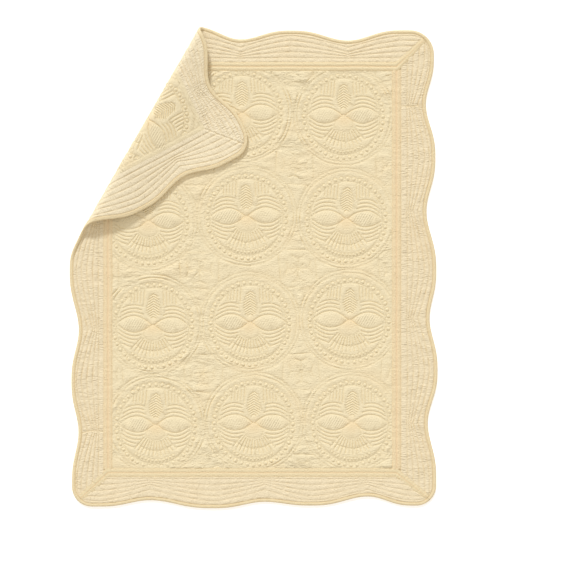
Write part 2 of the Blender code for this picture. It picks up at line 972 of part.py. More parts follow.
def build():
    cloth = finish("cloth", CLOTH_COLOUR, 0.9)
    trim = finish("trim", TRIM_COLOUR, 0.85)
    quilting = panel_lines()

    def off_beds(point):
        return not in_bed(point, BED_CLEAR)

    quilting = clip(quilting, off_beds)
    sheet("panel", panel_loop(), quilting, quilting, cloth)
    for side, _ in SIDES:
        ribs = clip(border_lines(side), off_beds)
        sheet("border_" + side, border_loop(side), ribs, ribs, cloth)

    full = TAPE_WIDTH
    narrow = MITRE_TAPE_WIDTH
    right_top, left_top, left_bottom, right_bottom = (Vector((c.seam_u, c.seam_v)) for c in CORNERS)
    ends = [(mitre_end(i), narrow) for i in range(len(CORNERS))]
    tape("tape_top", [ends[1], (left_top, full), (right_top, full), ends[0]], trim)
    tape("tape_bottom", [ends[2], (left_bottom, full), (right_bottom, full), ends[3]], trim)
    inset = Vector((0.0, full / 2 + GAP + TAPE_BUTT))
    tape("tape_left", [(left_bottom + inset, full), (left_top - inset, full)], trim)
    tape("tape_right", [(right_bottom + inset, full), (right_top - inset, full)], trim)
    binding("binding", trim)


build()
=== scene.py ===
import math

import bpy
import numpy as np
from mathutils.geometry import delaunay_2d_cdt
from mathutils.kdtree import KDTree
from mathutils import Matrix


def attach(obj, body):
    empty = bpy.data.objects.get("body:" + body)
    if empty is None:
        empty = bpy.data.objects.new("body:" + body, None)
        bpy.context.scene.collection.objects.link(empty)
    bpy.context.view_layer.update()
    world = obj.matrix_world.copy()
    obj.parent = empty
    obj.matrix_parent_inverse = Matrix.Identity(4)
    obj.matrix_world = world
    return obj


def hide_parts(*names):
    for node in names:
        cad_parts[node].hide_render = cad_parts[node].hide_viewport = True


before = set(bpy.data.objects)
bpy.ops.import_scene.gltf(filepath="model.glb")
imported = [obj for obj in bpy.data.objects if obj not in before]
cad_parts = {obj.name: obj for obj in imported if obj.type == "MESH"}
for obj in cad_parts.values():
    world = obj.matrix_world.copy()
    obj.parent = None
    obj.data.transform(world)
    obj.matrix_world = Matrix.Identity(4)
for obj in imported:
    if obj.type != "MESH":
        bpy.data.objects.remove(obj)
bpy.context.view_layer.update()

# Centre panel: two layers of fine cotton over thin wadding, machine quilted all over in one
# piece, cut square and sewn into the border. It is described flat, u to the right and v up the
# length, and lay() carries flat points to the level cloth, the bend and the turned-over corner.
MID = 0.0025
# The flat cloth's origin in the room
CENTRE = (-0.0015, -0.0021)
# The corner is turned over along a slanted line, round a bend, and lies a little askew
FOLD_ANGLE = math.radians(60)
FOLD_COS = math.cos(FOLD_ANGLE)
FOLD_SIN = math.sin(FOLD_ANGLE)
FOLD_REACH = 0.4170
BEND_RADIUS = 0.0135
BEND_START = FOLD_REACH - BEND_RADIUS - MID
BEND_ARC = math.pi * BEND_RADIUS
BEND_TOP = MID + 2 * BEND_RADIUS
FOLD_MARGIN = 0.020
SKEW = 0.120
# Past the bend the corner comes down, and its border droops a little more
FLAP_HEIGHT = 0.0130
FLAP_FALL = 0.130
FLAP_DROOP = 0.0015
DROOP_REACH = 0.060
DROOP_START = 0.080
NORMAL_STEP = 0.0002
SHARP_ANGLE = math.radians(70)

# Seams round the panel, and the low bed beside them that the tapes lie on
SEAMS = {"left": -0.3625, "right": 0.3590, "top": 0.5050, "bottom": -0.5100}
SEAM_GAP = 0.00003
BED = 0.0106
BED_HEIGHT = 0.0009
BED_EDGE = 0.0026
BED_SLOPE = 0.0010
BED_CLEAR = 0.0015
BEAD_CLEAR = 0.0060

# Relief: height at a stitched line, rise of the puffs, and how soon they rise beside it
STITCH_HEIGHT = 0.0013
PUFF_RISE = 0.0023
PUFF_REACH = 0.0017
BACK_STITCH = -0.0003
BACK_RISE = -0.0020
BACK_REACH = 0.0015
BACK_SEAM_DEPTH = 0.08
FINE_RELIEF = 0.00036
CREASE_RELIEF = 0.0019
BEAD_DOME = 0.0015
FLAP_FULLNESS = 0.45

# Spacing of the flat points: beside the lines, along them, and between them
WALL = 0.0012
WALL_PITCH = 0.0010
WALL_CLEAR = 0.0009
LINE_STEP = 0.0050
STEP_SLACK = 0.2
RING_STEP = 0.0070
FILL_STEP = 0.0050
FILL_CLEAR = 0.0024
BACK_STEP = 0.0090
MERGE = 2e-5

RINGS = (0.1250, 0.1170)
RING_CREST = 0.1210
# The inner line and the beads are a little narrower than high, and set lower
DROP = 0.0040
OVAL = 0.955
INNER_RING = 0.0955
BEAD_RING = 0.1030
BEADS = 40
BEAD_HALF = 0.0051
# A short row of smaller beads under the fan
LOW_BEADS = {"ring": 0.0875, "start": -0.62, "end": 0.67, "count": 12, "half": 0.0040}
LEAF = {"start": 0.004, "end": 0.091, "half": 0.0205, "axis": -0.001, "points": 18}
ECHO = {"pitch": 0.0092, "start": 0.006, "end": 0.100, "points": 20, "above": 7, "below": 10,
        "gap": 0.001, "widening": 0.0022}
REEDS = {"first": 0.0250, "pitch": 0.0078, "lean": -0.06, "count": 10, "rise": 3.5, "step": 0.006,
         "margin": 0.002, "shortest": 0.008}
SPRIG = {"foot": 0.010, "tip": 0.082, "half": 0.0160, "pitch": 0.0062, "drop": 0.0100,
         "sink": 0.6, "step": 0.0043}
# The part of a half turn of sine that gives the sprig its sides, and how blunt they are
SPRIG_SIDES = {"start": 0.03, "span": 0.94, "power": 0.85}
DOWN = -math.pi / 2
FAN = {"half_angle": math.radians(40), "margin": 0.06, "inner": 0.0445, "outer": 0.0790,
       "flutes": 11, "step": 0.0085, "row": 0.0665, "row_step": 0.0035}
# Right half of the plain disc under the middle, from its top to its foot
DISC = ((0.0, 0.0), (0.009, -0.006), (0.0175, -0.013), (0.0235, -0.022), (0.0225, -0.031),
        (0.0140, -0.038), (0.0, -0.041))
DISC_HALF = 0.0235
# Clear space between one group of lines and the next
CLEAR = 0.003

# Centre of each roundel, by column and row from the top left
ROUNDELS = (
    (-0.2800, 0.3850), (-0.0275, 0.3900), (0.2270, 0.3835),
    (-0.2620, 0.1200), (-0.0158, 0.1325), (0.2338, 0.1258),
    (-0.2500, -0.1400), (-0.0075, -0.1338), (0.2412, -0.1275),
    (-0.2432, -0.3888), (0.0022, -0.3840), (0.2475, -0.3838),
)
# Which leaf of each roundel is hatched the most: the left or the right one
HATCHED_SIDE = np.array((-1, -1, 1, 1, -1, 1, -1, -1, 1, -1, 1, -1))
COLUMNS = 3
ROWS = 4
# What lies between four roundels, and how far it is from the last ones at the panel's sides
SQUARE_HALF = 0.047
PETAL = (0.005, 0.010)
PETAL_TIPS = (0.022, 0.016)
BENT_LINE = ((-0.015, 0.032), (0.0, 0.026), (0.015, 0.032))
ROSETTE_DEPTH = 0.45
SIDE_REACH = 0.124
END_REACH = 0.128
# How far sewn lines stray, and over what distance
STRAY = 0.0008
STRAY_PATCH = 0.022
random = np.random.default_rng(7)
LATTICE = random.random((256, 256))
LATTICE_START = 60
SEED_SHIFT = np.array((17.3, 31.7))


def pairs(u, v):
    """Flat points from their two coordinates."""
    return np.stack((u, v), axis=1)


def lengths(vectors):
    return np.linalg.norm(vectors, axis=1)


def smooth(x):
    x = np.clip(x, 0.0, 1.0)
    return x * x * (3 - 2 * x)


def mottle(flat, size, seed=0):
    """Soft random values from -1 to 1 over the flat cloth, in patches of a given size."""
    x, y = (flat / size + SEED_SHIFT * seed + LATTICE_START).T
    i = np.floor(x).astype(int)
    j = np.floor(y).astype(int)
    a = smooth(x - i)
    b = smooth(y - j)

    def at(right, up):
        return LATTICE[(i + right) % len(LATTICE), (j + up) % len(LATTICE)]

    low = at(0, 0) * (1 - a) + at(1, 0) * a
    high = at(0, 1) * (1 - a) + at(1, 1) * a
    return (low * (1 - b) + high * b) * 2 - 1


def past_seams(flat):
    """How far flat points lie past the nearest seam: less than nothing inside the panel."""
    u, v = flat.T
    sides = [SEAMS["left"] - u, u - SEAMS["right"], SEAMS["bottom"] - v, v - SEAMS["top"]]
    return np.maximum.reduce(sides)


def in_panel(flat, inset):
    return past_seams(flat) < -inset


def across_fold(flat):
    """How far flat points lie towards the corner that is folded over."""
    return flat[:, 1] * FOLD_COS - flat[:, 0] * FOLD_SIN


def middle(flat):
    """Places of the middle of the cloth at flat points."""
    s = across_fold(flat)
    t = flat[:, 0] * FOLD_COS + flat[:, 1] * FOLD_SIN
    past = np.clip(s - BEND_START - BEND_ARC, 0, None)
    turn = np.clip((s - BEND_START) / BEND_RADIUS, 0, math.pi)
    s = np.minimum(s, BEND_START) + BEND_RADIUS * np.sin(turn) - past
    t = t - SKEW * past
    z = MID + BEND_RADIUS * (1 - np.cos(turn))
    z = z + (FLAP_HEIGHT - BEND_TOP) * smooth(past / FLAP_FALL)
    z = z - FLAP_DROOP * smooth(past_seams(flat) / DROOP_REACH) * smooth(past / DROOP_START)
    x = t * FOLD_COS - s * FOLD_SIN + CENTRE[0]
    y = t * FOLD_SIN + s * FOLD_COS + CENTRE[1]
    return np.stack((x, y, z), axis=1)


def lay(flat, height):
    """Places of flat points, each a height in front of the middle of the cloth."""
    flat = np.asarray(flat, dtype=float)
    du = middle(flat + (NORMAL_STEP, 0)) - middle(flat - (NORMAL_STEP, 0))
    dv = middle(flat + (0, NORMAL_STEP)) - middle(flat - (0, NORMAL_STEP))
    normal = np.cross(du, dv)
    normal /= lengths(normal)[:, None]
    return middle(flat) + normal * np.asarray(height, dtype=float)[:, None]


def put(name, data):
    """A new object at the origin for a mesh, a light or a camera."""
    thing = bpy.data.objects.new(name, data)
    bpy.context.scene.collection.objects.link(thing)
    return thing


def add_piece(name, points, faces, flat, marks, material):
    """A mesh object with the flat cloth as its UV map, and named values at its points."""
    mesh = bpy.data.meshes.new(name)
    mesh.from_pydata(points.tolist(), [], faces)
    mesh.materials.append(material)
    mesh.shade_smooth()
    mesh.set_sharp_from_angle(angle=SHARP_ANGLE)
    corners = np.empty(len(mesh.loops), dtype=np.int32)
    mesh.loops.foreach_get("vertex_index", corners)
    uv = mesh.uv_layers.new(name="cloth")
    uv.data.foreach_set("uv", np.asarray(flat, dtype=np.float32)[corners].ravel())
    for mark, values in marks.items():
        layer = mesh.attributes.new(mark, "FLOAT", "POINT")
        layer.data.foreach_set("value", np.asarray(values, dtype=np.float32))
    return put(name, mesh)


def add_sheet(name, flat, front, back, faces, rim, marks, material):
    """A closed piece of cloth from one set of flat points and faces, used front and back.
    A mark is one set of values for both faces, or a pair of sets."""
    count = len(flat)
    points = np.concatenate((lay(flat, front), lay(flat, back)))
    polygons = [tuple(face) for face in faces]
    polygons += [tuple(count + k for k in face[::-1]) for face in faces]
    for a, b in zip(rim, np.roll(rim, -1)):
        polygons.append((int(a), int(a) + count, int(b) + count, int(b)))
    doubled = {mark: np.concatenate(values if isinstance(values, tuple) else (values, values))
               for mark, values in marks.items()}
    return add_piece(name, points, polygons, np.concatenate((flat, flat)), doubled, material)


def add_node(tree, kind, settings, values):
    """The outputs of a new node: its settings go first, then each socket's value or link."""
    node = tree.nodes.new(kind)
    for setting, value in settings.items():
        setattr(node, setting, value)
    for socket, value in values.items():
        if isinstance(value, bpy.types.NodeSocket):
            tree.links.new(value, node.inputs[socket])
        else:
            node.inputs[socket].default_value = value
    return node.outputs


class Wire:
    """A number in a shader. Adding or multiplying wires adds the Math nodes for it."""

    def __init__(self, finish, socket):
        self.finish = finish
        self.socket = socket

    def math(self, operation, first, second=None):
        values = {0: first} if second is None else {0: first, 1: second}
        return self.finish.node("ShaderNodeMath", {"operation": operation}, values)

    def __add__(self, other):
        return self.math("ADD", self, other)

    def __sub__(self, other):
        return self.math("SUBTRACT", self, other)

    def __rsub__(self, other):
        return self.math("SUBTRACT", other, self)

    def __mul__(self, other):
        return self.math("MULTIPLY", self, other)

    __radd__ = __add__
    __rmul__ = __mul__

    def sine(self):
        return self.math("SINE", self)

    def unsigned(self):
        return self.math("ABSOLUTE", self)


class Finish:
    """A material being put together on its own Principled shader."""

    def __init__(self, name, roughness, sheen):
        self.material = bpy.data.materials.new(name)
        self.material.use_nodes = True
        self.tree = self.material.node_tree
        self.shader = self.tree.nodes["Principled BSDF"]
        self.shader.inputs["Roughness"].default_value = roughness
        self.shader.inputs["Specular IOR Level"].default_value = 0.25
        self.shader.inputs["Sheen Weight"].default_value = sheen
        self.shader.inputs["Sheen Roughness"].default_value = 0.5

    def node(self, kind, settings, values, output=0):
        """Any node, as a wire from one of its outputs. Its values may be wires too."""
        values = {socket: getattr(value, "socket", value) for socket, value in values.items()}
        return Wire(self, add_node(self.tree, kind, settings, values)[output])

    def mark(self, name):
        return self.node("ShaderNodeAttribute", {"attribute_name": name}, {}, "Fac")

    def blend(self, factor, first, second):
        """A colour between two others."""
        settings = {"data_type": "RGBA"}
        return self.node("ShaderNodeMix", settings, {0: factor, 6: first, 7: second}, 2)

    def noise(self, place, scale, detail=2.0):
        values = {"Vector": place, "Scale": scale, "Detail": detail}
        return self.node("ShaderNodeTexNoise", {}, values, 0)

    def stretched(self, place, ways):
        return self.node("ShaderNodeVectorMath", {"operation": "MULTIPLY"}, {0: place, 1: ways})

    def feed(self, socket, wire):
        self.tree.links.new(wire.socket, self.shader.inputs[socket])

    def bump(self, height, strength, distance):
        values = {"Strength": strength, "Distance": distance, "Height": height}
        self.feed("Normal", self.node("ShaderNodeBump", {}, values))


CLOTH_LIGHT = (0.865, 0.768, 0.532, 1)
CLOTH_DEEP = (0.720, 0.560, 0.290, 1)
CLOTH_BLUSH = (0.890, 0.698, 0.420, 1)
# How much of the deep colour goes on: painted shade in stitched lines and pucker folds, uneven tone in
# patches
STITCH_PAINTED_SHADE = 0.26
PATCH_TONE = 0.25
PUCKER_PAINTED_SHADE = -0.45
# Scale of each pattern over the flat cloth, and how it is drawn out along u and v
WEAVE_PITCH = 0.0011
CREASE_SCALE = 240.0
CREASE_WAYS = (0.8, 1.2, 1.0)
PATCH_SCALE = 38.0
WRINKLE_SCALE = 55.0
WRINKLE_WAYS = (0.7, 1.6, 1.0)
HATCH_PITCH = 0.0056
HATCH_SLANT = (0.87, 0.50)
PUCKERS_A_METRE = 300.0
PUCKERS_A_CHANNEL = 1.4
# Shares of the bump's full height
WEAVE_HEIGHT = 0.03
PUCKER_HEIGHT = 2.8
BUMP_STRENGTH = 0.9
BUMP_DISTANCE = 0.0024


def cotton(name, light, deep, blush, crinkle, puckers=0.0, wrinkles=0.0, hatching=0.0, inner_painted_light=None):
    """Fine plain-weave cotton, with painted shade in its colour: paler on the puffs, deeper and warmer
    in the stitched lines and in the puckers' folds. Puckers are short folds across channels, wrinkles
    lie in loose cloth, hatching is rows of close stitches, and the inner side may get a paler painted
    light."""
    finish = Finish(name, 0.88, 0.15)
    place = finish.node("ShaderNodeUVMap", {"uv_map": "cloth"}, {})
    u = finish.node("ShaderNodeSeparateXYZ", {}, {0: place})
    v = Wire(finish, u.socket.node.outputs[1])
    turn = 2 * math.pi / WEAVE_PITCH
    weave = (u * turn).sine() * (v * turn).sine()
    crease = finish.noise(finish.stretched(place, CREASE_WAYS), CREASE_SCALE, 1.2)
    patches = finish.noise(place, PATCH_SCALE, 3.0)
    # Painted light: the inner side of the same cloth gets a paler colour where one is given
    if inner_painted_light:
        light = finish.blend(finish.mark("inner_painted_light"), light, inner_painted_light)
    # Painted shade: the stitched lines take the deep colour
    colour = finish.blend(finish.mark("stitch") * STITCH_PAINTED_SHADE, light, deep)
    colour = finish.blend(finish.mark("blush"), colour, blush)
    colour = finish.blend((patches - 0.35) * PATCH_TONE, colour, deep)
    height = crease * crinkle + weave * WEAVE_HEIGHT
    if wrinkles:
        loose = finish.noise(finish.stretched(place, WRINKLE_WAYS), WRINKLE_SCALE, 3.0)
        height = height + (loose - 0.5).unsigned() * finish.mark("loose") * wrinkles
    if hatching:
        slant = (u * HATCH_SLANT[0] - v * HATCH_SLANT[1]) * (2 * math.pi / HATCH_PITCH)
        height = height + slant.sine() * finish.mark("hatch") * hatching
    if puckers:
        values = {0: finish.mark("channel") * PUCKERS_A_CHANNEL,
                  1: finish.mark("along") * PUCKERS_A_METRE}
        fold = finish.noise(finish.node("ShaderNodeCombineXYZ", {}, values), 1.0, 1.0) - 0.5
        fold = fold * (1.0 - finish.mark("stitch") * 0.4) * finish.mark("gathered")
        fold = fold * (patches - 0.12) * PUCKER_HEIGHT
        height = height + fold * puckers
        # Painted shade: the low folds of the puckers take the deep colour
        colour = finish.blend(fold * PUCKER_PAINTED_SHADE, colour, deep)
    finish.feed("Base Color", colour)
    finish.feed("Roughness", 0.84 + patches * 0.12)
    finish.bump(height, BUMP_STRENGTH, BUMP_DISTANCE)
    return finish.material


cloth = cotton("quilted cotton", CLOTH_LIGHT, CLOTH_DEEP, CLOTH_BLUSH, 0.75, wrinkles=2.3,
               hatching=0.19)


def arc(radius, start, end, step=LINE_STEP, drop=0.0, squeeze=1.0):
    """Points along an arc round a roundel's middle, or round a spot below it."""
    count = max(int(round(radius * abs(end - start) / step)), 2)
    angles = np.linspace(start, end, count + 1)
    return pairs(radius * squeeze * np.cos(angles), radius * np.sin(angles) - drop)


def divide(points, step=LINE_STEP):
    """A line's points, with more between them where they are far apart."""
    points = np.asarray(points, dtype=float)
    out = [points[:1]]
    for a, b in zip(points, points[1:]):
        parts = max(int(math.ceil(np.linalg.norm(b - a) / step - STEP_SLACK)), 1)
        out.append(a + (b - a) * (np.arange(1, parts + 1) / parts)[:, None])
    return np.concatenate(out)


def runs(line, keep):
    """The stretches of a line that are kept, each of at least two points."""
    marks = np.flatnonzero(np.diff(np.concatenate(([0], keep.astype(int), [0]))))
    return [line[a:b] for a, b in zip(marks[::2], marks[1::2]) if b - a > 1]


def radius_of(line):
    return np.hypot(line[:, 0] / OVAL, line[:, 1] + DROP)


def leaf_rise(x):
    t = (2 * x - LEAF["start"] - LEAF["end"]) / (LEAF["end"] - LEAF["start"])
    return LEAF["half"] * (1 - t * t)


def fan_angle(line):
    """How far points are turned from straight below the middle."""
    return np.abs(np.arctan2(line[:, 0], -line[:, 1]))


def bead(x, y, radius, sides):
    turn = np.linspace(0, 2 * math.pi, sides + 1)
    return pairs(x + radius * np.cos(turn), y + radius * np.sin(turn))


def bead_row(radius, start, end, count, half, sides):
    """Small stitched circles along an arc, not counting its end."""
    step = radius * abs(end - start) / count * 0.999
    spots = arc(radius, start, end, step, DROP, OVAL)[:-1]
    return [bead(x, y, half, sides) for x, y in spots], [spots[k:k + 1] for k in range(len(spots))]


def leaf_lines():
    """A pointed leaf to the right, the lines that echo it above and below, and reeds over it."""
    stitches, crests = [], []
    x = np.linspace(LEAF["start"], LEAF["end"], LEAF["points"])
    rise = leaf_rise(x)
    stitches.append(pairs(x, LEAF["axis"] + rise))
    stitches.append(pairs(x[1:-1], LEAF["axis"] - rise[1:-1]))
    x = np.linspace(ECHO["start"], ECHO["end"], ECHO["points"])
    for order in range(1, ECHO["below"] + 1):
        away = ECHO["pitch"] * order / 2
        kind = stitches if order % 2 == 0 else crests
        upper = pairs(x, LEAF["axis"] + leaf_rise(x) + away)
        lower = pairs(x, LEAF["axis"] - leaf_rise(x) - away)
        if order <= ECHO["above"]:
            past_sprig = x > SPRIG["half"] + ECHO["gap"] + ECHO["widening"] * order
            kind += runs(upper, (radius_of(upper) < INNER_RING - CLEAR) & past_sprig)
        past_fan = (fan_angle(lower) > FAN["half_angle"] + FAN["margin"]) & (x > DISC_HALF + CLEAR)
        kind += runs(lower, (radius_of(lower) < INNER_RING - CLEAR) & past_fan)
    for order in range(REEDS["count"]):
        x = REEDS["first"] + REEDS["pitch"] * order / 2
        foot = LEAF["axis"] + leaf_rise(x) + ECHO["pitch"] * REEDS["rise"] + CLEAR
        top = math.sqrt(max(INNER_RING ** 2 - (x / OVAL) ** 2, 0)) - DROP - CLEAR
        reed = divide(((x, foot), (x + REEDS["lean"] * (top - foot), top)), REEDS["step"])
        inside = radius_of(reed) < INNER_RING - REEDS["margin"]
        kind = stitches if order % 2 == 0 else crests
        kind += runs(reed, inside & (top - foot > REEDS["shortest"]))
    return stitches, crests


def sprig_half(y):
    t = np.clip((y - SPRIG["foot"]) / (SPRIG["tip"] - SPRIG["foot"]) * SPRIG_SIDES["span"]
                + SPRIG_SIDES["start"], 0, 1)
    return SPRIG["half"] * np.sin(math.pi * t) ** SPRIG_SIDES["power"]


def chevrons():
    """The sprig above the middle, made of chevrons as wide as its outline."""
    lines = []
    y = SPRIG["foot"] + SPRIG["drop"]
    while y < SPRIG["tip"] - CLEAR:
        half = float(sprig_half(y - SPRIG["drop"] * SPRIG["sink"]))
        drop = SPRIG["drop"] * half / SPRIG["half"]
        lines.append(divide(((-half, y - drop), (0.0, y), (half, y - drop)), SPRIG["step"]))
        y += SPRIG["pitch"] / 2
    return lines[::2], lines[1::2]


def disc_lines():
    """Both halves of the disc's outline."""
    return [divide(np.array(DISC) * (way, 1)) for way in (1, -1)]


def fan_lines():
    """The flutes of a fan below the disc, and the row stitched across them."""
    lines = []
    for order in range(2 * FAN["flutes"] + 1):
        angle = DOWN + FAN["half_angle"] * (order / FAN["flutes"] - 1)
        way = np.array((math.cos(angle), math.sin(angle)))
        lines.append(divide((way * FAN["inner"], way * FAN["outer"]), FAN["step"]))
    ends = DOWN - FAN["half_angle"], DOWN + FAN["half_angle"]
    return lines[::2] + [arc(FAN["row"], *ends, FAN["row_step"])], lines[1::2]


def mirrored(lines):
    return [line * (-1, 1) for line in lines]


def roundel_lines():
    """Every group of lines in a roundel: how deep they are stitched, the lines and the crests."""
    around = 2 * math.pi
    leaf, leaf_crests = leaf_lines()
    return [
        (0.50, [arc(radius, 0, around, RING_STEP) for radius in RINGS],
         [arc(RING_CREST, 0, around, RING_STEP)]),
        (0.75, [arc(INNER_RING, 0, around, RING_STEP * 0.8, DROP, OVAL)], []),
        (0.80, *bead_row(BEAD_RING, 0, around, BEADS, BEAD_HALF, 8)),
        (0.80, *bead_row(LOW_BEADS["ring"], DOWN + LOW_BEADS["start"], DOWN + LOW_BEADS["end"],
                         LOW_BEADS["count"], LOW_BEADS["half"], 6)),
        (1.00, *chevrons()),
        (1.00, *fan_lines()),
        (0.45, disc_lines(), []),
        (0.90, leaf + mirrored(leaf), leaf_crests + mirrored(leaf_crests)),
    ]


def rosette_lines():
    """What fills the space between four roundels: petals, and a square with a bent line
    inside each of its sides."""
    stitches = []
    for order in range(8):
        way = np.array((math.cos(order * math.pi / 4), math.sin(order * math.pi / 4)))
        stitches.append(np.array([way * reach for reach in (*PETAL, PETAL_TIPS[order % 2])]))
    for quarter in range(4):
        side = np.array(((-SQUARE_HALF, SQUARE_HALF), (SQUARE_HALF, SQUARE_HALF)))
        bent = np.array(BENT_LINE)
        for _ in range(quarter):
            side = side[:, ::-1] * (-1, 1)
            bent = bent[:, ::-1] * (-1, 1)
        stitches += [divide(side), divide(bent)]
    return stitches


def turned(line, centre, angle, size=1.0):
    c = math.cos(angle) * size
    s = math.sin(angle) * size
    x = line[:, 0] * c - line[:, 1] * s
    return pairs(x + centre[0], line[:, 0] * s + line[:, 1] * c + centre[1])


centres = np.array(ROUNDELS)
grid = centres.reshape(ROWS, COLUMNS, 2)
spandrels = []
for row in range(-1, ROWS):
    for column in range(-1, COLUMNS):
        near = grid[np.clip([row, row + 1], 0, ROWS - 1)]
        near = near[:, np.clip([column, column + 1], 0, COLUMNS - 1)]
        spot = near.reshape(4, 2).mean(axis=0)
        spot[0] += SIDE_REACH * ((column == COLUMNS - 1) - (column < 0))
        spot[1] += END_REACH * ((row < 0) - (row == ROWS - 1))
        spandrels.append(spot)


def placed(line, centre, angle):
    """A roundel's line in its place on the panel, straying a little as sewn lines do."""
    line = turned(line, centre, angle)
    stray = pairs(mottle(line, STRAY_PATCH, 1), mottle(line, STRAY_PATCH, 2))
    return line + STRAY * stray


stitched, depths, crested, beads = [], [], [], []
pattern = roundel_lines()
for centre in centres:
    angle = math.radians(random.uniform(-2.0, 2.0))
    for depth, lines, crests in pattern:
        for line in lines:
            line = placed(line, centre, angle)
            kept = runs(line, in_panel(line, BED + BED_CLEAR))
            stitched += kept
            depths += [depth] * len(kept)
        for line in crests:
            line = placed(line, centre, angle)
            if len(line) > 1:
                crested += runs(line, in_panel(line, BED + BED_CLEAR))
            elif in_panel(line, BED + BEAD_CLEAR)[0]:
                crested.append(line)
                beads.append(line[0])
pattern = rosette_lines()
for centre in spandrels:
    for line in pattern:
        line = turned(line, centre, random.uniform(-0.1, 0.1), random.uniform(0.94, 1.04))
        gap = np.linalg.norm(line[:, None] - centres[None], axis=2).min(axis=1)
        kept = runs(line, in_panel(line, BED + BED_CLEAR) & (gap > RINGS[0] + CLEAR))
        stitched += kept
        depths += [ROSETTE_DEPTH] * len(kept)

corners = [(SEAMS["left"], SEAMS["bottom"]), (SEAMS["right"], SEAMS["bottom"]),
           (SEAMS["right"], SEAMS["top"]), (SEAMS["left"], SEAMS["top"])]


def square(inset):
    """A closed line inside the four seams, counterclockwise."""
    inward = np.array(((1, 1), (-1, 1), (-1, -1), (1, -1)))
    line = np.array(corners) + inward * inset
    return divide(np.concatenate((line, line[:1])), LINE_STEP)


def nearest(lines, step=0.0015):
    """A search tree over points all along some lines, which gives each point's line."""
    tree = KDTree(sum(len(divide(line, step)) for line in lines))
    for number, line in enumerate(lines):
        for x, y in divide(line, step):
            tree.insert((x, y, 0.0), number)
    tree.balance()
    return tree


def distances(tree, flat):
    return np.array([tree.find((x, y, 0.0))[2] for x, y in flat])


def depths_at(tree, flat):
    """How deep the nearest line is stitched."""
    return np.array(depths)[[tree.find((x, y, 0.0))[1] for x, y in flat]]


def thinned(points, cell):
    """One of the points in each small square."""
    _, first = np.unique(np.floor(points / cell).astype(int), axis=0, return_index=True)
    return points[np.sort(first)]


def beside(line, away):
    run = np.gradient(line, axis=0)
    run /= lengths(run)[:, None]
    return line + pairs(-run[:, 1], run[:, 0]) * away


def spread(step, clear, tree):
    """Scattered points that fill the panel between its lines."""
    fill = []
    for order, v in enumerate(np.arange(SEAMS["bottom"], SEAMS["top"], step * 0.87)):
        for u in np.arange(SEAMS["left"] + (order % 2) * step / 2, SEAMS["right"], step):
            fill.append((u, v))
    fill = np.array(fill) + random.uniform(-0.12, 0.12, (len(fill), 2)) * step
    fill = fill[in_panel(fill, CLEAR)]
    return fill[distances(tree, fill) > clear]


def triangulate(lines, loose):
    """Flat points and triangles with every line kept as edges, and where the rim's points went."""
    points = [rim_line]
    edges = [(i, (i + 1) % len(rim_line)) for i in range(len(rim_line))]
    total = len(rim_line)
    for line in lines:
        points.append(line)
        edges += [(total + i, total + i + 1) for i in range(len(line) - 1)]
        total += len(line)
    points.append(loose)
    flat, _, faces, sources, _, _ = delaunay_2d_cdt(
        np.concatenate(points).tolist(), edges, [], 0, MERGE, True)
    flat = np.array([(p.x, p.y) for p in flat])
    place = {k: i for i, several in enumerate(sources) for k in several}
    corner = flat[np.array(faces)]
    first = corner[:, 1] - corner[:, 0]
    second = corner[:, 2] - corner[:, 0]
    upward = first[:, 0] * second[:, 1] - first[:, 1] * second[:, 0] > 0
    faces = [face if up else face[::-1] for face, up in zip(faces, upward)]
    return flat, faces, [place[i] for i in range(len(rim_line))]


def front_height(flat, gap, depth, crinkle, reach=PUFF_REACH):
    """Height of the front face of quilted cloth, from how far and how deep the nearest line is."""
    soft = mottle(flat, 0.034, 3) * 0.6 + mottle(flat, 0.013, 4) * 0.5 * crinkle
    fine = mottle(flat * (0.7, 1.3), 0.0070, 5) * crinkle
    rise = 1 - depth * np.exp(-gap / reach)
    return STITCH_HEIGHT + PUFF_RISE * rise * (1 + 0.10 * soft) + FINE_RELIEF * fine * rise


def back_height(flat, gap, depth, crinkle):
    fine = mottle(flat * (0.8, 1.2), 0.0066, 16) * crinkle
    rise = 1 - depth * np.exp(-gap / BACK_REACH)
    return BACK_STITCH + BACK_RISE * rise * (1 + 0.22 * fine)


def rested(flat, back):
    """The back of the level cloth, which goes no lower than what it lies on."""
    return np.where(across_fold(flat) < BEND_START, np.maximum(back, -MID), back)


rim_line = square(SEAM_GAP)[:-1]
stitched.append(square(BED))
depths.append(0.35)
crested.append(square(BED - BED_SLOPE))
stitch_tree = nearest(stitched)
walls = [beside(line, way * WALL) for line in stitched if len(line) > 1 for way in (-1, 1)]
walls = thinned(np.concatenate(walls), WALL_PITCH)
walls = walls[in_panel(walls, BED + WALL_CLEAR)]
walls = walls[distances(stitch_tree, walls) > WALL * 0.86]
line_tree = nearest(stitched + crested + [rim_line, walls], 0.003)
fill = spread(FILL_STEP, FILL_CLEAR, line_tree)


def over_fold(line):
    """Whether points are where the back can be seen: past the fold, or just before it."""
    return across_fold(line) > FOLD_REACH - FOLD_MARGIN


front_lines = stitched + crested
front_flat, front_faces, front_rim = triangulate(front_lines, np.concatenate((walls, fill)))
back_lines = [line for line in front_lines if over_fold(line).any() and in_panel(line, 0.001).all()]
back_lines += [line for line in stitched if not over_fold(line).any() and len(line) > 1]
back_fill = spread(BACK_STEP, BACK_STEP * 0.6, nearest(back_lines + [rim_line], 0.004))
back_loose = (walls[over_fold(walls)], fill[over_fold(fill)], back_fill[~over_fold(back_fill)])
back_flat, back_faces, back_rim = triangulate(back_lines, np.concatenate(back_loose))

flat = np.concatenate((front_flat, back_flat))
count = len(front_flat)
gap = distances(stitch_tree, flat)
owner = np.linalg.norm(flat[:, None] - centres[None], axis=2).argmin(axis=1)
own = flat - centres[owner]
from_centre = lengths(own)
in_leaf = leaf_rise(np.abs(own[:, 0])) - np.abs(own[:, 1] - LEAF["axis"]) - CLEAR
hatched = smooth(in_leaf / 0.003) * np.where(own[:, 0] * HATCHED_SIDE[owner] > 0, 1.0, 0.45)
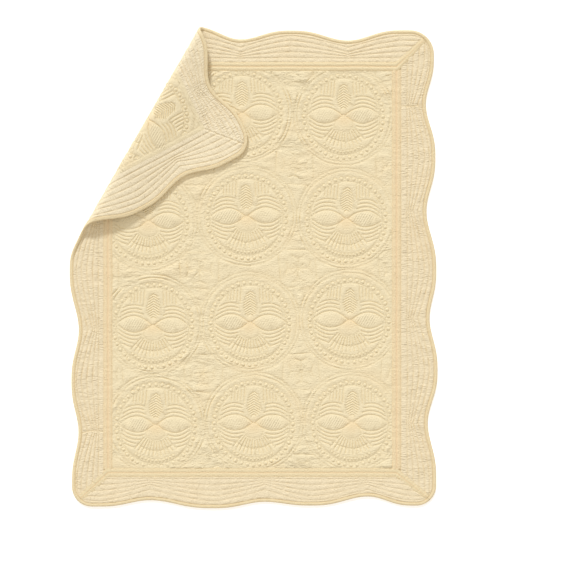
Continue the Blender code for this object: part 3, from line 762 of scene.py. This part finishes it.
# The cloth outside the beads is loose, and crumples
band = smooth((from_centre - BEAD_RING - 0.001) / 0.006)
crumpled = band * (0.45 + 0.95 * smooth(mottle(flat, 0.075, 21) + 0.5))
creases = mottle(flat * (0.42, 1.5), 0.018, 14) + 0.6 * mottle(flat * (0.7, 1.2), 0.010, 15)
creases = np.clip(creases, -1, 1)
depth = depths_at(stitch_tree, flat)
swell = distances(nearest([np.array([bead]) for bead in beads]), flat)
dome = BEAD_DOME * np.clip(1 - (swell / 0.0060) ** 2, 0, None)
# A shallow trough under the beads
trough = smooth((BEAD_RING + 0.006 - from_centre) / 0.004) * smooth((from_centre - 0.094) / 0.004)
front = front_height(flat, gap, depth, 0.7 + 1.3 * band) + dome - 0.0004 * trough
front = front + crumpled * CREASE_RELIEF * creases * (1 - np.exp(-gap / 0.0015))
front = np.where(in_panel(flat, BED + 0.0001), front, BED_EDGE)
front = np.where(in_panel(flat, BED - 0.0001), front, BED_HEIGHT)
to_seam = distances(nearest([rim_line]), flat)
back_depth = np.where(to_seam < gap, BACK_SEAM_DEPTH, depth)
back = back_height(flat, np.minimum(gap, to_seam), back_depth, 1.0)
fullness = FLAP_FULLNESS * smooth(to_seam / 0.008)
turned_over = smooth((across_fold(flat) - FOLD_REACH) / FOLD_MARGIN)
back = back + (back - BACK_STITCH) * fullness * turned_over
back = back - dome * 0.6
back = back - (0.0004 + 0.0006 * band) * creases * (1 - np.exp(-to_seam / 0.002))
heights = np.where(np.arange(len(flat)) < count, front, rested(flat, back))
# Warm spots where the two leaves meet, and a faint uneven blush outside the beads
from_peak = (flat[:, None] - centres[None] + (0, 0.009)) / (1.15, 1.0)
blush = 0.55 * np.exp(-(np.linalg.norm(from_peak, axis=2).min(axis=1) / 0.017) ** 2)
blush += 0.14 * band * smooth(mottle(flat, 0.045, 6) * 1.5)
faces = list(front_faces) + [tuple(count + k for k in face[::-1]) for face in back_faces]
rims = list(zip(front_rim, back_rim))
for (a, below_a), (b, below_b) in zip(rims, rims[1:] + rims[:1]):
    faces.append((a, count + below_a, count + below_b, b))
# The stitch mark is painted shade: it deepens the colour along every stitched groove
marks = {"stitch": np.exp(-gap / 0.0009), "blush": blush, "loose": crumpled, "hatch": hatched}
panel = add_piece("quilted_panel", lay(flat, heights), faces, flat, marks, cloth)
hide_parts("panel")
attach(panel, "root")

# Border strips: four strips of the same quilted cotton, joined to the panel along its sides
# and to each other on the slant at the corners. Their outer edge is cut in scallops, and long
# channels are stitched along them, which bend with the scallops.
WIDTH = 0.912
LENGTH = 1.192
BINDING_WIDTH = 0.009
SCALLOP_POWER = 1.4

# Crests and valleys of the scallops: place along the side, inset from the side line
TURNS = {
    "right": (
        (-0.524, -0.0020), (-0.386, 0.0187), (-0.254, -0.0055), (-0.124, 0.0142), (-0.004, -0.0023),
        (0.144, 0.0220), (0.279, 0.0000), (0.411, 0.0235), (0.529, 0.0035),
    ),
    "top": (
        (-0.395, -0.0050), (-0.280, 0.0290), (-0.159, -0.0100), (-0.031, 0.0227),
        (0.095, 0.0007), (0.2375, 0.0255), (0.3725, 0.0000),
    ),
    "left": (
        (-0.536, 0.0032), (-0.409, 0.0195), (-0.281, 0.0020), (-0.154, 0.0202), (-0.004, -0.0025),
        (0.114, 0.0250), (0.270, -0.0060), (0.404, 0.0175), (0.522, -0.0020),
    ),
    "bottom": (
        (-0.385, 0.0007), (-0.2575, 0.0165), (-0.100, -0.0035), (0.030, 0.0125),
        (0.145, 0.0032), (0.2875, 0.0257), (0.4025, 0.0030),
    ),
}
UPRIGHT = ("right", "left")
# Sides in order round the blanket, which way along each the outline runs, and its two
# neighbours with the radius of the corner shared: the one at its low end, then its high end
SIDES = {
    "right": (1, ("bottom", 0.050), ("top", 0.060)),
    "top": (-1, ("left", 0.049), ("right", 0.060)),
    "left": (-1, ("bottom", 0.050), ("top", 0.049)),
    "bottom": (1, ("left", 0.050), ("right", 0.050)),
}
# Stitched channels: inset where a scallop crests, and where two scallops meet
CHANNELS = ((0.0145, 0.0440), (0.0265, 0.0560), (0.0405, 0.0615), (0.0550, 0.0665), (0.0695, 0.0710))
CHANNEL_POWER = 1.40
CHANNEL_PITCH = 0.0045
CHANNEL_REACH = 0.0025
CHANNEL_DEPTHS = {"top": 0.75, "bottom": 0.50, "left": 0.85, "right": 0.85}
RIB_ROWS = (0.09, 0.22, 0.40, 0.60, 0.78, 0.91)
BED_ROWS = (0.10, 0.4, 0.7)
RIM_STEP = 0.0020


def half_size(side):
    return LENGTH / 2 if side in UPRIGHT else WIDTH / 2


def seam_inset(side):
    return half_size("top" if side in UPRIGHT else "right") - abs(SEAMS[side])


def corner_middle(side, end):
    """Distance from the middle of a side to the centre of the round corner at one end."""
    other, radius = SIDES[side][1 if end < 0 else 2]
    own_last = TURNS[other][-1 if side in ("right", "top") else 0]
    return half_size(side) - own_last[1] - radius, radius


def phases(side, along):
    """Crest inset, valley inset and how far from crest to valley, at places along a side."""
    turns = np.array(TURNS[side])
    k = np.clip(np.searchsorted(turns[:, 0], along) - 1, 0, len(turns) - 2)
    low, high = turns[k], turns[k + 1]
    t = np.clip((along - low[:, 0]) / (high[:, 0] - low[:, 0]), 0, 1)
    crest_first = low[:, 1] < high[:, 1]
    crest = np.where(crest_first, low[:, 1], high[:, 1])
    valley = np.where(crest_first, high[:, 1], low[:, 1])
    return crest, valley, np.where(crest_first, t, 1 - t)


def edge_inset(side, along):
    crest, valley, phase = phases(side, along)
    inset = crest + (valley - crest) * ((1 - np.cos(math.pi * phase)) / 2) ** SCALLOP_POWER
    for end in (-1, 1):
        middle_along, radius = corner_middle(side, end)
        past = np.clip(along * end - middle_along, 0, radius)
        inset = inset + radius - np.sqrt(radius ** 2 - past ** 2)
    return inset


def spots(side, along, inset):
    """Flat points from places along a side and insets from it."""
    if side in UPRIGHT:
        u = (WIDTH / 2 - inset) * (1 if side == "right" else -1)
        return pairs(u, along)
    v = (LENGTH / 2 - inset) * (1 if side == "top" else -1)
    return pairs(along, v)


def side_stops(side):
    """Places along a side, in the outline's order, from the middle of one round corner to the next."""
    ends = []
    for end in (-1, 1):
        middle_along, radius = corner_middle(side, end)
        ends.append(end * (middle_along + radius * math.sqrt(0.5)))
    count = int((ends[1] - ends[0]) / RIM_STEP)
    stops = np.linspace(*ends, count + 1)
    return stops if SIDES[side][0] > 0 else stops[::-1]


outline = []
starts = {}
for side in SIDES:
    starts[side] = sum(len(run) for run in outline)
    stops = side_stops(side)[:-1]
    outline.append(spots(side, stops, edge_inset(side, stops)))
outline = np.concatenate(outline)
run = np.roll(outline, -1, axis=0) - np.roll(outline, 1, axis=0)
inward = pairs(-run[:, 1], run[:, 0])
inward /= lengths(inward)[:, None]


def channel_inset(side, along, order):
    phase = phases(side, along)[2]
    crest, valley = CHANNELS[order]
    inset = crest + (valley - crest) * phase ** CHANNEL_POWER
    return np.maximum(inset, edge_inset(side, along) + BINDING_WIDTH + CHANNEL_PITCH * (order + 1))


def strip_places(side, outer):
    """Places along and insets of every row of a strip, from its outer edge to its seam."""
    upright = side in UPRIGHT
    along0 = outer[:, 1] if upright else outer[:, 0]
    inset0 = (WIDTH if upright else LENGTH) / 2 - np.abs(outer[:, 0] if upright else outer[:, 1])
    low, high = (SEAMS["bottom"], SEAMS["top"]) if upright else (SEAMS["left"], SEAMS["right"])
    first, last = (low, high) if SIDES[side][0] > 0 else (high, low)
    along1 = np.linspace(first, last, len(outer))
    inset1 = seam_inset(side) - SEAM_GAP

    def row_at(target):
        along = along0
        for _ in range(4):
            depth = np.clip((target(along) - inset0) / (inset1 - inset0), 0, 1)
            along = along0 + (along1 - along0) * depth
        return along, inset0 + (inset1 - inset0) * depth

    lines = [(along0, inset0)]
    lines += [row_at(lambda a, k=k: channel_inset(side, a, k)) for k in range(len(CHANNELS))]
    lines.append(row_at(lambda a: np.full(len(a), seam_inset(side) - BED)))
    lines.append((along1, np.full(len(outer), inset1)))
    return lines


SEAM_RIDGE = 0.0040
BED_GROOVE = 0.30
BACK_CHANNEL_DEPTH = 0.75
PUCKER_RELIEF = 0.0006
PUCKER_REACH = 0.0013
# The slanted joins: a level bed in front, and a groove with a ridge beside it at the back
MITRE_BED = 0.0054
MITRE_SLOPE = 2.2
MITRE_GROOVE = {"depth": 0.0008, "reach": 0.0012}
MITRE_RIDGE = {"rise": 0.0009, "away": 0.0040, "half": 0.0016}
# Where a strip is pieced together from two lengths: place along the side, the join's form, and how wide
# the painted shade on it is
CROSS_SEAMS = {"right": 0.409, "left": -0.409}
CROSS_SEAM = {"sway": 0.004, "turns": 60, "half": 0.0016, "dip": 0.0012, "shade": 0.0015}
# How strongly the front and the back of a strip are gathered, level strips first
GATHERED = ((0.40, 1.00), (0.75, 0.35))
SIDE_LIGHT = (0.868, 0.763, 0.547, 1)
# Painted light: the strips' inner side is the same cloth, given a paler colour to brighten the
# turned-over corner
STRIP_INNER_PAINTED_LIGHT = (0.895, 0.802, 0.592, 1)
strip_cloth = cotton("puckered cotton", SIDE_LIGHT, CLOTH_DEEP, CLOTH_BLUSH, 0.75, puckers=1.7,
                     inner_painted_light=STRIP_INNER_PAINTED_LIGHT)
for side in SIDES:
    upright = side in UPRIGHT
    first = starts[side]
    chosen = np.arange(first, first + len(side_stops(side))) % len(outline)
    outer = outline[chosen] + inward[chosen] * (BINDING_WIDTH + SEAM_GAP)
    lines = strip_places(side, outer)
    rows, gaps = [], []
    for number, (near, far) in enumerate(zip(lines, lines[1:])):
        ribbed = number < len(lines) - 2
        for part in (0.0,) + (RIB_ROWS if ribbed else BED_ROWS):
            along = near[0] + (far[0] - near[0]) * part
            inset = near[1] + (far[1] - near[1]) * part
            rows.append(spots(side, along, inset))
            gaps.append(np.abs(far[1] - near[1]) * min(part, 1 - part) * ribbed)
    rows.append(spots(side, *lines[-1]))
    gaps.append(np.zeros(len(outer)))
    flat = np.concatenate(rows)
    gap = np.concatenate(gaps)

    columns = len(outer)
    last = len(flat) - columns
    faces = [(a, a + 1, a + columns + 1, a + columns) for a in range(last) if (a + 1) % columns]
    rim = np.array([*range(columns), *range(2 * columns - 1, len(flat), columns),
                    *range(len(flat) - 2, last - 1, -1), *range(last - columns, 0, -columns)])
    row = np.arange(len(flat)) // columns
    bed_row = (len(lines) - 2) * (len(RIB_ROWS) + 1)
    on_bed = row > bed_row

    grooves = np.where(row < bed_row - 3, CHANNEL_DEPTHS[side], BED_GROOVE)
    front = front_height(flat, gap, grooves, 0.5, CHANNEL_REACH)
    drawn_out = flat * ((0.45, 1.0) if upright else (1.0, 0.45))
    pucker = (mottle(drawn_out, 0.0060, 7) + mottle(drawn_out, 0.0100, 8)) * PUCKER_RELIEF
    front = front + pucker * (1 - np.exp(-gap / PUCKER_REACH))
    front = np.where(row == bed_row, BED_EDGE, front)
    front = np.where(on_bed, BED_HEIGHT, front)
    turn = math.pi * (row - bed_row) / (row[-1] - bed_row)
    back_gap = np.where(on_bed, SEAM_RIDGE * np.abs(np.sin(turn)), gap)
    back_depth = np.where(on_bed, BACK_SEAM_DEPTH, BACK_CHANNEL_DEPTH)
    back = back_height(flat, back_gap, back_depth, 0.6)
    back = back - pucker * 0.8 * (1 - np.exp(-back_gap / PUCKER_REACH))

    mitre_gap = np.full(len(flat), 1.0)
    for a, b in ((flat[0], flat[last]), (flat[columns - 1], flat[-1])):
        t = np.clip(((flat - a) @ (b - a)) / ((b - a) @ (b - a)), 0, 1)
        mitre_gap = np.minimum(mitre_gap, lengths(flat - a - t[:, None] * (b - a)))
    front = np.minimum(front, BED_HEIGHT + MITRE_SLOPE * np.clip(mitre_gap - MITRE_BED, 0, None))
    from_ridge = (mitre_gap - MITRE_RIDGE["away"]) / MITRE_RIDGE["half"]
    back = back + MITRE_GROOVE["depth"] * np.exp(-mitre_gap / MITRE_GROOVE["reach"])
    back = back - MITRE_RIDGE["rise"] * np.exp(-from_ridge ** 2)
    if side in CROSS_SEAMS:
        seam_line = CROSS_SEAM["sway"] * np.sin(flat[:, 0] * CROSS_SEAM["turns"])
        from_seam = np.abs(flat[:, 1] - CROSS_SEAMS[side] - seam_line)
        dip = CROSS_SEAM["dip"] * np.exp(-(from_seam / CROSS_SEAM["half"]) ** 2)
        front = front - dip * (front > BED_HEIGHT + 0.0005)
        # The cross seam's dip takes the full painted groove shade
        gap = np.where(from_seam < CROSS_SEAM["shade"], 0.0, gap)

    # Painted shade along the channels' grooves, stronger on the side strips, whose lengthwise grooves
    # the light from above hardly shades
    stitch = np.exp(-gap / 0.0011) * (1.4 if upright else 1.0)
    piece = add_sheet("border_strip_" + side, flat, front, rested(flat, back), faces, rim, {
        "stitch": (stitch, stitch * ~on_bed),
        "blush": 0.12 * smooth(mottle(flat, 0.06, 9)),
        "channel": row / (len(RIB_ROWS) + 1),
        "along": flat[:, 1] if upright else flat[:, 0],
        "gathered": tuple(np.full(len(flat), level) for level in GATHERED[upright]),
        # The back faces take the paler painted light
        "inner_painted_light": (np.zeros(len(flat)), np.ones(len(flat))),
    }, strip_cloth)
    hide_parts("border_" + side)
    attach(piece, "root")

# Tapes: narrow strips of the same cotton with two soft ridges, sewn by hand over the seams
# between panel and border and over the slanted corner joins. The top and bottom ones turn
# at the corners and run out to the binding.
TAPE_HALF = 0.0100
MITRE_TAPE_HALF = 0.0058
GATHERED_HALF = 0.0074
TAPE_STEP = 0.0030
# Points round a tape: place across it in half widths, and height
TAPE_SECTION = (
    (-1.00, 0.0018), (-0.88, 0.0013), (0.00, 0.0013), (0.88, 0.0013), (1.00, 0.0018), (1.14, 0.0028),
    (0.92, 0.0035), (0.72, 0.0041), (0.52, 0.0044), (0.32, 0.0041), (0.14, 0.0034), (0.00, 0.0030),
    (-0.14, 0.0034), (-0.32, 0.0041), (-0.52, 0.0044), (-0.72, 0.0041), (-0.92, 0.0035), (-1.14, 0.0028),
)
# Points of the section that the hand stitches run along
TAPE_STITCHED = (6, 16)
TAPE_EDGE = 0.0028
TAPE_UNDER = 0.0022
# On the slanted joins the middle groove of the tape closes up
MITRE_TOP = 0.0041
MITRE_CROWN = 0.0010
# A tape turns and narrows over these stretches
TURN_REACH = 0.012
TAPER_POWER = 0.45
TAPE_SWAY = 0.0006
TAPE_WAVE = 0.00055
RIPPLE_PITCH = 0.0075
# How far an end dips under the tape or the binding that it meets, and over what length
TUCK = 0.0011
TUCK_REACH = 0.003
# The side tapes are both warmer and more gathered than the level ones
TAPE_GATHERED = 0.75
TRIM_LIGHT = (0.828, 0.733, 0.486, 1)
TRIM_DEEP = (0.790, 0.565, 0.300, 1)
TRIM_BLUSH = (0.890, 0.700, 0.460, 1)
trim = cotton("cotton tape", TRIM_LIGHT, TRIM_DEEP, TRIM_BLUSH, 0.7, puckers=1.7)
THREAD_SINK = 0.00005
seam_lines = []


def travelled_along(line):
    """How far each point of a line is from its start, going along it."""
    steps = lengths(np.diff(line, axis=0))
    return np.concatenate(([0], np.cumsum(steps)))


def mottle_along(along, size, seed):
    return mottle(pairs(along, np.zeros(len(along))), size, seed)


def swept(name, section, flats, heights, across, travelled, looks, closed=False):
    """A strip of cotton swept along rows of flat points, its ends closed unless it is a loop.
    Looks are marks that are the same all along, as one value or one for each point round it."""
    count, size = heights.shape
    faces = []
    for i in range(count if closed else count - 1):
        j = (i + 1) % count
        for k in range(size):
            m = (k + 1) % size
            faces.append((i * size + k, i * size + m, j * size + m, j * size + k))
    if not closed:
        faces.append(tuple(range(size))[::-1])
        faces.append(tuple(range((count - 1) * size, count * size)))
    level = np.ones((count, size))
    looks = dict(looks, channel=section[:, 0], along=travelled[:, None])
    marks = {mark: (level * value).ravel() for mark, value in looks.items()}
    cloth_map = np.stack((level * travelled[:, None], level * across), axis=2)
    points = lay(flats.reshape(-1, 2), heights.ravel())
    return add_piece(name, points, faces, cloth_map.reshape(-1, 2), marks, trim)


def tape_rows(route):
    """Middle points, directions across and half widths all along a tape's route."""
    places = np.array([point for point, _ in route])
    halves = [half for _, half in route]
    legs = np.diff(places, axis=0)
    legs /= lengths(legs)[:, None]
    sides = pairs(-legs[:, 1], legs[:, 0])
    spans, ways, widths = [], [], []
    for i in range(len(legs)):
        cuts = []
        for k in (i, i + 1):
            both = sides[max(k - 1, 0)] + sides[min(k, len(legs) - 1)]
            cuts.append(both * 2 / (both @ both))
        length = np.linalg.norm(places[i + 1] - places[i])
        count = int(length / TAPE_STEP)
        t = np.linspace(0, 1, count + 1)[:, None]
        near = np.clip(1 - t * length / TURN_REACH, 0, 1)
        far = np.clip(1 - (1 - t) * length / TURN_REACH, 0, 1)
        way = sides[i] * (1 - near - far) + cuts[0] * near + cuts[1] * far
        keep = slice(0, None if i == len(legs) - 1 else -1)
        spans.append((places[i] + (places[i + 1] - places[i]) * t)[keep])
        ways.append(way[keep])
        widening = halves[i] < halves[i + 1]
        taper = 1 - (1 - t[:, 0]) ** TAPER_POWER if widening else t[:, 0] ** TAPER_POWER
        widths.append((halves[i] + (halves[i + 1] - halves[i]) * taper)[keep])
    return np.concatenate(spans), np.concatenate(ways), np.concatenate(widths)


def add_tape(name, route, node, blush_level, fullness, gathers=0.0):
    """A tape over a seam: fullness scales its ridges, and gathers ripple where it is narrow."""
    section = np.array(TAPE_SECTION)
    middles, ways, halves = tape_rows(route)
    along = np.arange(len(middles)) * TAPE_STEP
    flats = middles[:, None] + ways[:, None] * (section[None, :, :1] * halves[:, None, None])
    flats = flats + ways[:, None] * (mottle_along(along, 0.060, 13) * TAPE_SWAY)[:, None, None]
    heights = np.repeat(section[None, :, 1], len(middles), axis=0)
    raised = heights > TAPE_UNDER
    heights = np.where(raised, TAPE_EDGE + (heights - TAPE_EDGE) * fullness, heights)
    slant = smooth((TAPE_HALF - halves) / (TAPE_HALF - MITRE_TAPE_HALF))[:, None]
    single = np.where(raised, MITRE_TOP - MITRE_CROWN * section[None, :, 0] ** 2, heights)
    heights = heights + (single - heights) * slant
    ripple = gathers * np.sin(along * 2 * math.pi / RIPPLE_PITCH) * (halves < TAPE_HALF * 0.98)
    heights = heights + raised * (TAPE_WAVE * mottle_along(along, 0.0062, 11) + ripple)[:, None]
    to_end = np.minimum(along, along[::-1])
    heights = heights - raised * (TUCK * np.exp(-to_end / TUCK_REACH))[:, None]
    travelled = travelled_along(middles)
    offset = np.abs(section[:, 0])
    # The stitch mark here is painted shade: dark at the tape's edges, where it meets the cloth, and in
    # its middle groove
    tape = swept(name, section, flats, heights, section[None, :, 0] * halves[:, None], travelled, {
        "stitch": np.exp(-np.abs(offset - 1.05) / 0.20) * 1.1 + np.exp(-offset / 0.13) * 2.8,
        "blush": blush_level * (0.5 + 0.5 * np.exp(-(offset / 0.5) ** 2)),
        "gathered": TAPE_GATHERED * blush_level,
    })
    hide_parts(node)
    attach(tape, "root")
    for k in TAPE_STITCHED:
        seam_lines.append(lay(flats[:, k], heights[:, k] + THREAD_SINK))


MITRE_END_GAP = 0.0012


def mitre_end(corner, side):
    """Where a tape stops on the slanted join, just short of the binding."""
    outer = outline[starts[side]]
    way = np.array(corner) - outer
    return outer + way / np.linalg.norm(way) * (BINDING_WIDTH + MITRE_END_GAP)


# The side tapes tuck under the level ones by this much
BUTT_TUCK = 0.0015
left_bottom, right_bottom, right_top, left_top = (np.array(corner) for corner in corners)
butt = np.array((0.0, TAPE_HALF - BUTT_TUCK))
add_tape("tape_over_top_seam",
         [(mitre_end(left_top, "left"), MITRE_TAPE_HALF), (left_top, TAPE_HALF),
          (right_top, TAPE_HALF), (mitre_end(right_top, "top"), MITRE_TAPE_HALF)],
         "tape_top", 0.15, 1.15)
add_tape("tape_over_bottom_seam",
         [(mitre_end(left_bottom, "bottom"), GATHERED_HALF), (left_bottom, TAPE_HALF),
          (right_bottom, TAPE_HALF), (mitre_end(right_bottom, "right"), MITRE_TAPE_HALF)],
         "tape_bottom", 0.15, 0.60, 0.0009)
add_tape("tape_over_left_seam", [(left_bottom + butt, TAPE_HALF), (left_top - butt, TAPE_HALF)],
         "tape_left", 0.55, 0.95)
add_tape("tape_over_right_seam", [(right_bottom + butt, TAPE_HALF), (right_top - butt, TAPE_HALF)],
         "tape_right", 0.60, 1.10)

# Binding: one folded strip of cotton rolled round the raw scalloped edge and topstitched
# through all the layers, so both faces show it.
# Points round the binding: place inwards from the rim in its width, and height
BINDING_SECTION = (
    (1.00, 0.0010), (0.96, 0.0019), (0.86, 0.0021), (0.74, 0.0029), (0.55, 0.0033), (0.34, 0.0031),
    (0.15, 0.0024), (0.04, 0.0012), (0.00, -0.0002), (0.05, -0.0014), (0.20, -0.0022), (0.45, -0.0025),
    (0.75, -0.0025), (0.94, -0.0023), (1.00, -0.0010),
)
BINDING_STITCHED = (3, 12)
BINDING_WAVE = 0.07
section = np.array(BINDING_SECTION)
flats = outline[:, None] + inward[:, None] * (section[None, :, :1] * BINDING_WIDTH)
travelled = travelled_along(outline)
wave = BINDING_WAVE * mottle_along(travelled, 0.0065, 12)
heights = section[None, :, 1] * (1 + wave[:, None] * (section[None, :, 1] > 0))
across = (section[:, 0] + section[:, 1] / BINDING_WIDTH) * BINDING_WIDTH
# The stitch mark makes the binding a little deeper all over, and is painted shade at its inner edge and
# its rolled rim
binding = swept("edge_binding", section, flats, heights, across, travelled, {
    "stitch": 0.2 + np.exp(-np.abs(section[:, 0] - 0.9) / 0.12) + np.exp(-section[:, 0] / 0.10),
    "blush": 0.10,
    "gathered": 0.25,
}, closed=True)
for k in BINDING_STITCHED:
    seam_lines.append(lay(flats[:, k], heights[:, k] + THREAD_SINK * np.sign(heights[0, k])))
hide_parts("binding")
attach(binding, "root")

# Thread: short hand stitches of cotton thread along both edges of every tape, and a row of
# topstitching that shows on both faces of the binding. They lie half sunk in the cloth.
THREAD = {
    "Stitch pitch": 0.0048,
    "Stitch length": 0.0030,
    "Thread radius": 0.00024,
}
THREAD_LIGHT = (0.900, 0.760, 0.480, 1)
THREAD_DEEP = (0.720, 0.550, 0.290, 1)
thread = Finish("cotton thread", 0.65, 0.10)
place = thread.node("ShaderNodeTexCoord", {}, {}, "Object")
thread.feed("Base Color", thread.blend(thread.noise(place, 700.0), THREAD_LIGHT, THREAD_DEEP))


def stitching_tree():
    """Geometry Nodes that put a short thread at even steps along every line."""
    tree = bpy.data.node_groups.new("running stitches", "GeometryNodeTree")
    inputs = {"Lines": "Geometry", **dict.fromkeys(THREAD, "Float"), "Seed": "Int",
              "Material": "Material"}
    for label, kind in inputs.items():
        tree.interface.new_socket(label, in_out="INPUT", socket_type="NodeSocket" + kind)
    tree.interface.new_socket("Stitches", in_out="OUTPUT", socket_type="NodeSocketGeometry")
    given = tree.nodes.new("NodeGroupInput").outputs

    def step(kind, values, **settings):
        return add_node(tree, kind, settings, values)

    curves = step("GeometryNodeMeshToCurve", {"Mesh": given["Lines"]})
    even = step("GeometryNodeResampleCurve", {"Curve": curves[0], "Length": given["Stitch pitch"]},
                mode="LENGTH")
    spots = step("GeometryNodeCurveToPoints", {"Curve": even[0]}, mode="EVALUATED")
    stitch = step("GeometryNodeMeshCylinder", {"Vertices": 6, "Radius": given["Thread radius"],
                                               "Depth": given["Stitch length"]})
    uneven = step("FunctionNodeRandomValue", {"Min": (0.85, 0.85, 0.75), "Max": (1.15, 1.15, 1.20),
                                              "Seed": given["Seed"]}, data_type="FLOAT_VECTOR")
    placed_stitches = step("GeometryNodeInstanceOnPoints", {
        "Points": spots["Points"], "Instance": stitch["Mesh"],
        "Rotation": spots["Rotation"], "Scale": uneven[0],
    })
    real = step("GeometryNodeRealizeInstances", {"Geometry": placed_stitches[0]})
    finished = step("GeometryNodeSetMaterial", {"Geometry": real[0], "Material": given["Material"]})
    tree.links.new(finished[0], tree.nodes.new("NodeGroupOutput").inputs["Stitches"])
    return tree


points = np.concatenate(seam_lines)
stops = np.cumsum([len(line) for line in seam_lines])
edges = [(k, k + 1) for k in range(len(points) - 1) if k + 1 not in stops]
thread_mesh = bpy.data.meshes.new("seam lines")
thread_mesh.from_pydata(points.tolist(), edges, [])
stitches = put("hand_stitches", thread_mesh)
modifier = stitches.modifiers.new("running stitches", "NODES")
modifier.node_group = stitching_tree()
values = dict(THREAD, Seed=3, Material=thread.material)
for item in modifier.node_group.interface.items_tree:
    if item.in_out == "INPUT" and item.name in values:
        modifier[item.identifier] = values[item.name]
evaluated = stitches.evaluated_get(bpy.context.evaluated_depsgraph_get())
plain = bpy.data.meshes.new_from_object(evaluated)
stitches.modifiers.remove(modifier)
stitches.data = plain
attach(stitches, "root")

# Room: a plain white floor, a soft window light from the upper left, a weaker light from above
# and a camera straight above.
FLOOR_HALF = 4
FLOOR_LEVEL = -0.0004
floor_corners = ((-1, -1), (1, -1), (1, 1), (-1, 1))
floor_mesh = bpy.data.meshes.new("floor")
floor_mesh.from_pydata([(x * FLOOR_HALF, y * FLOOR_HALF, FLOOR_LEVEL) for x, y in floor_corners],
                       [], [(0, 1, 2, 3)])
floor = put("floor", floor_mesh)
paper = Finish("white floor", 0.9, 0.0)
paper.shader.inputs["Base Color"].default_value = (0.9, 0.9, 0.9, 1)
paper.shader.inputs["Emission Color"].default_value = (1, 1, 1, 1)
paper.shader.inputs["Emission Strength"].default_value = 0.35
floor_mesh.materials.append(paper.material)


def add_light(name, place, spread, power, colour):
    """A far, soft light that comes from the direction of a place."""
    lamp = bpy.data.lights.new(name, "SUN")
    lamp.angle = math.radians(spread)
    lamp.energy = power
    lamp.color = colour
    holder = put(name, lamp)
    holder.location = place
    x, y, z = place
    holder.rotation_euler = (math.atan2(math.hypot(x, y), z), 0.0, math.atan2(y, x) + math.pi / 2)


add_light("window", (-0.8, 2.9, 1.85), 8.0, 2.04, (0.965, 1.00, 1.05))
add_light("room", (0.6, -0.8, 3.0), 60.0, 0.42, (1.0, 1.0, 1.0))
WORLD_COLOUR = (1.0, 0.905, 0.79, 1)
WORLD_STRENGTH = 0.59
world = bpy.data.worlds.new("studio")
world.use_nodes = True
world.node_tree.nodes["Background"].inputs["Color"].default_value = WORLD_COLOUR
world.node_tree.nodes["Background"].inputs["Strength"].default_value = WORLD_STRENGTH
bpy.context.scene.world = world

# What the photo's frame takes in at the level of the cloth's face
VIEW_WIDTH = 1.4325
VIEW_CENTRE = (0.0823, -0.0471)
VIEW_LEVEL = 0.004
CAMERA_HEIGHT = 5.0
camera = bpy.data.cameras.new("camera")
camera.lens = camera.sensor_width * (CAMERA_HEIGHT - VIEW_LEVEL) / VIEW_WIDTH
camera_holder = put("camera", camera)
camera_holder.location = (VIEW_CENTRE[0], VIEW_CENTRE[1], CAMERA_HEIGHT)
bpy.context.scene.camera = camera_holder
bpy.context.scene.view_settings.view_transform = "Standard"
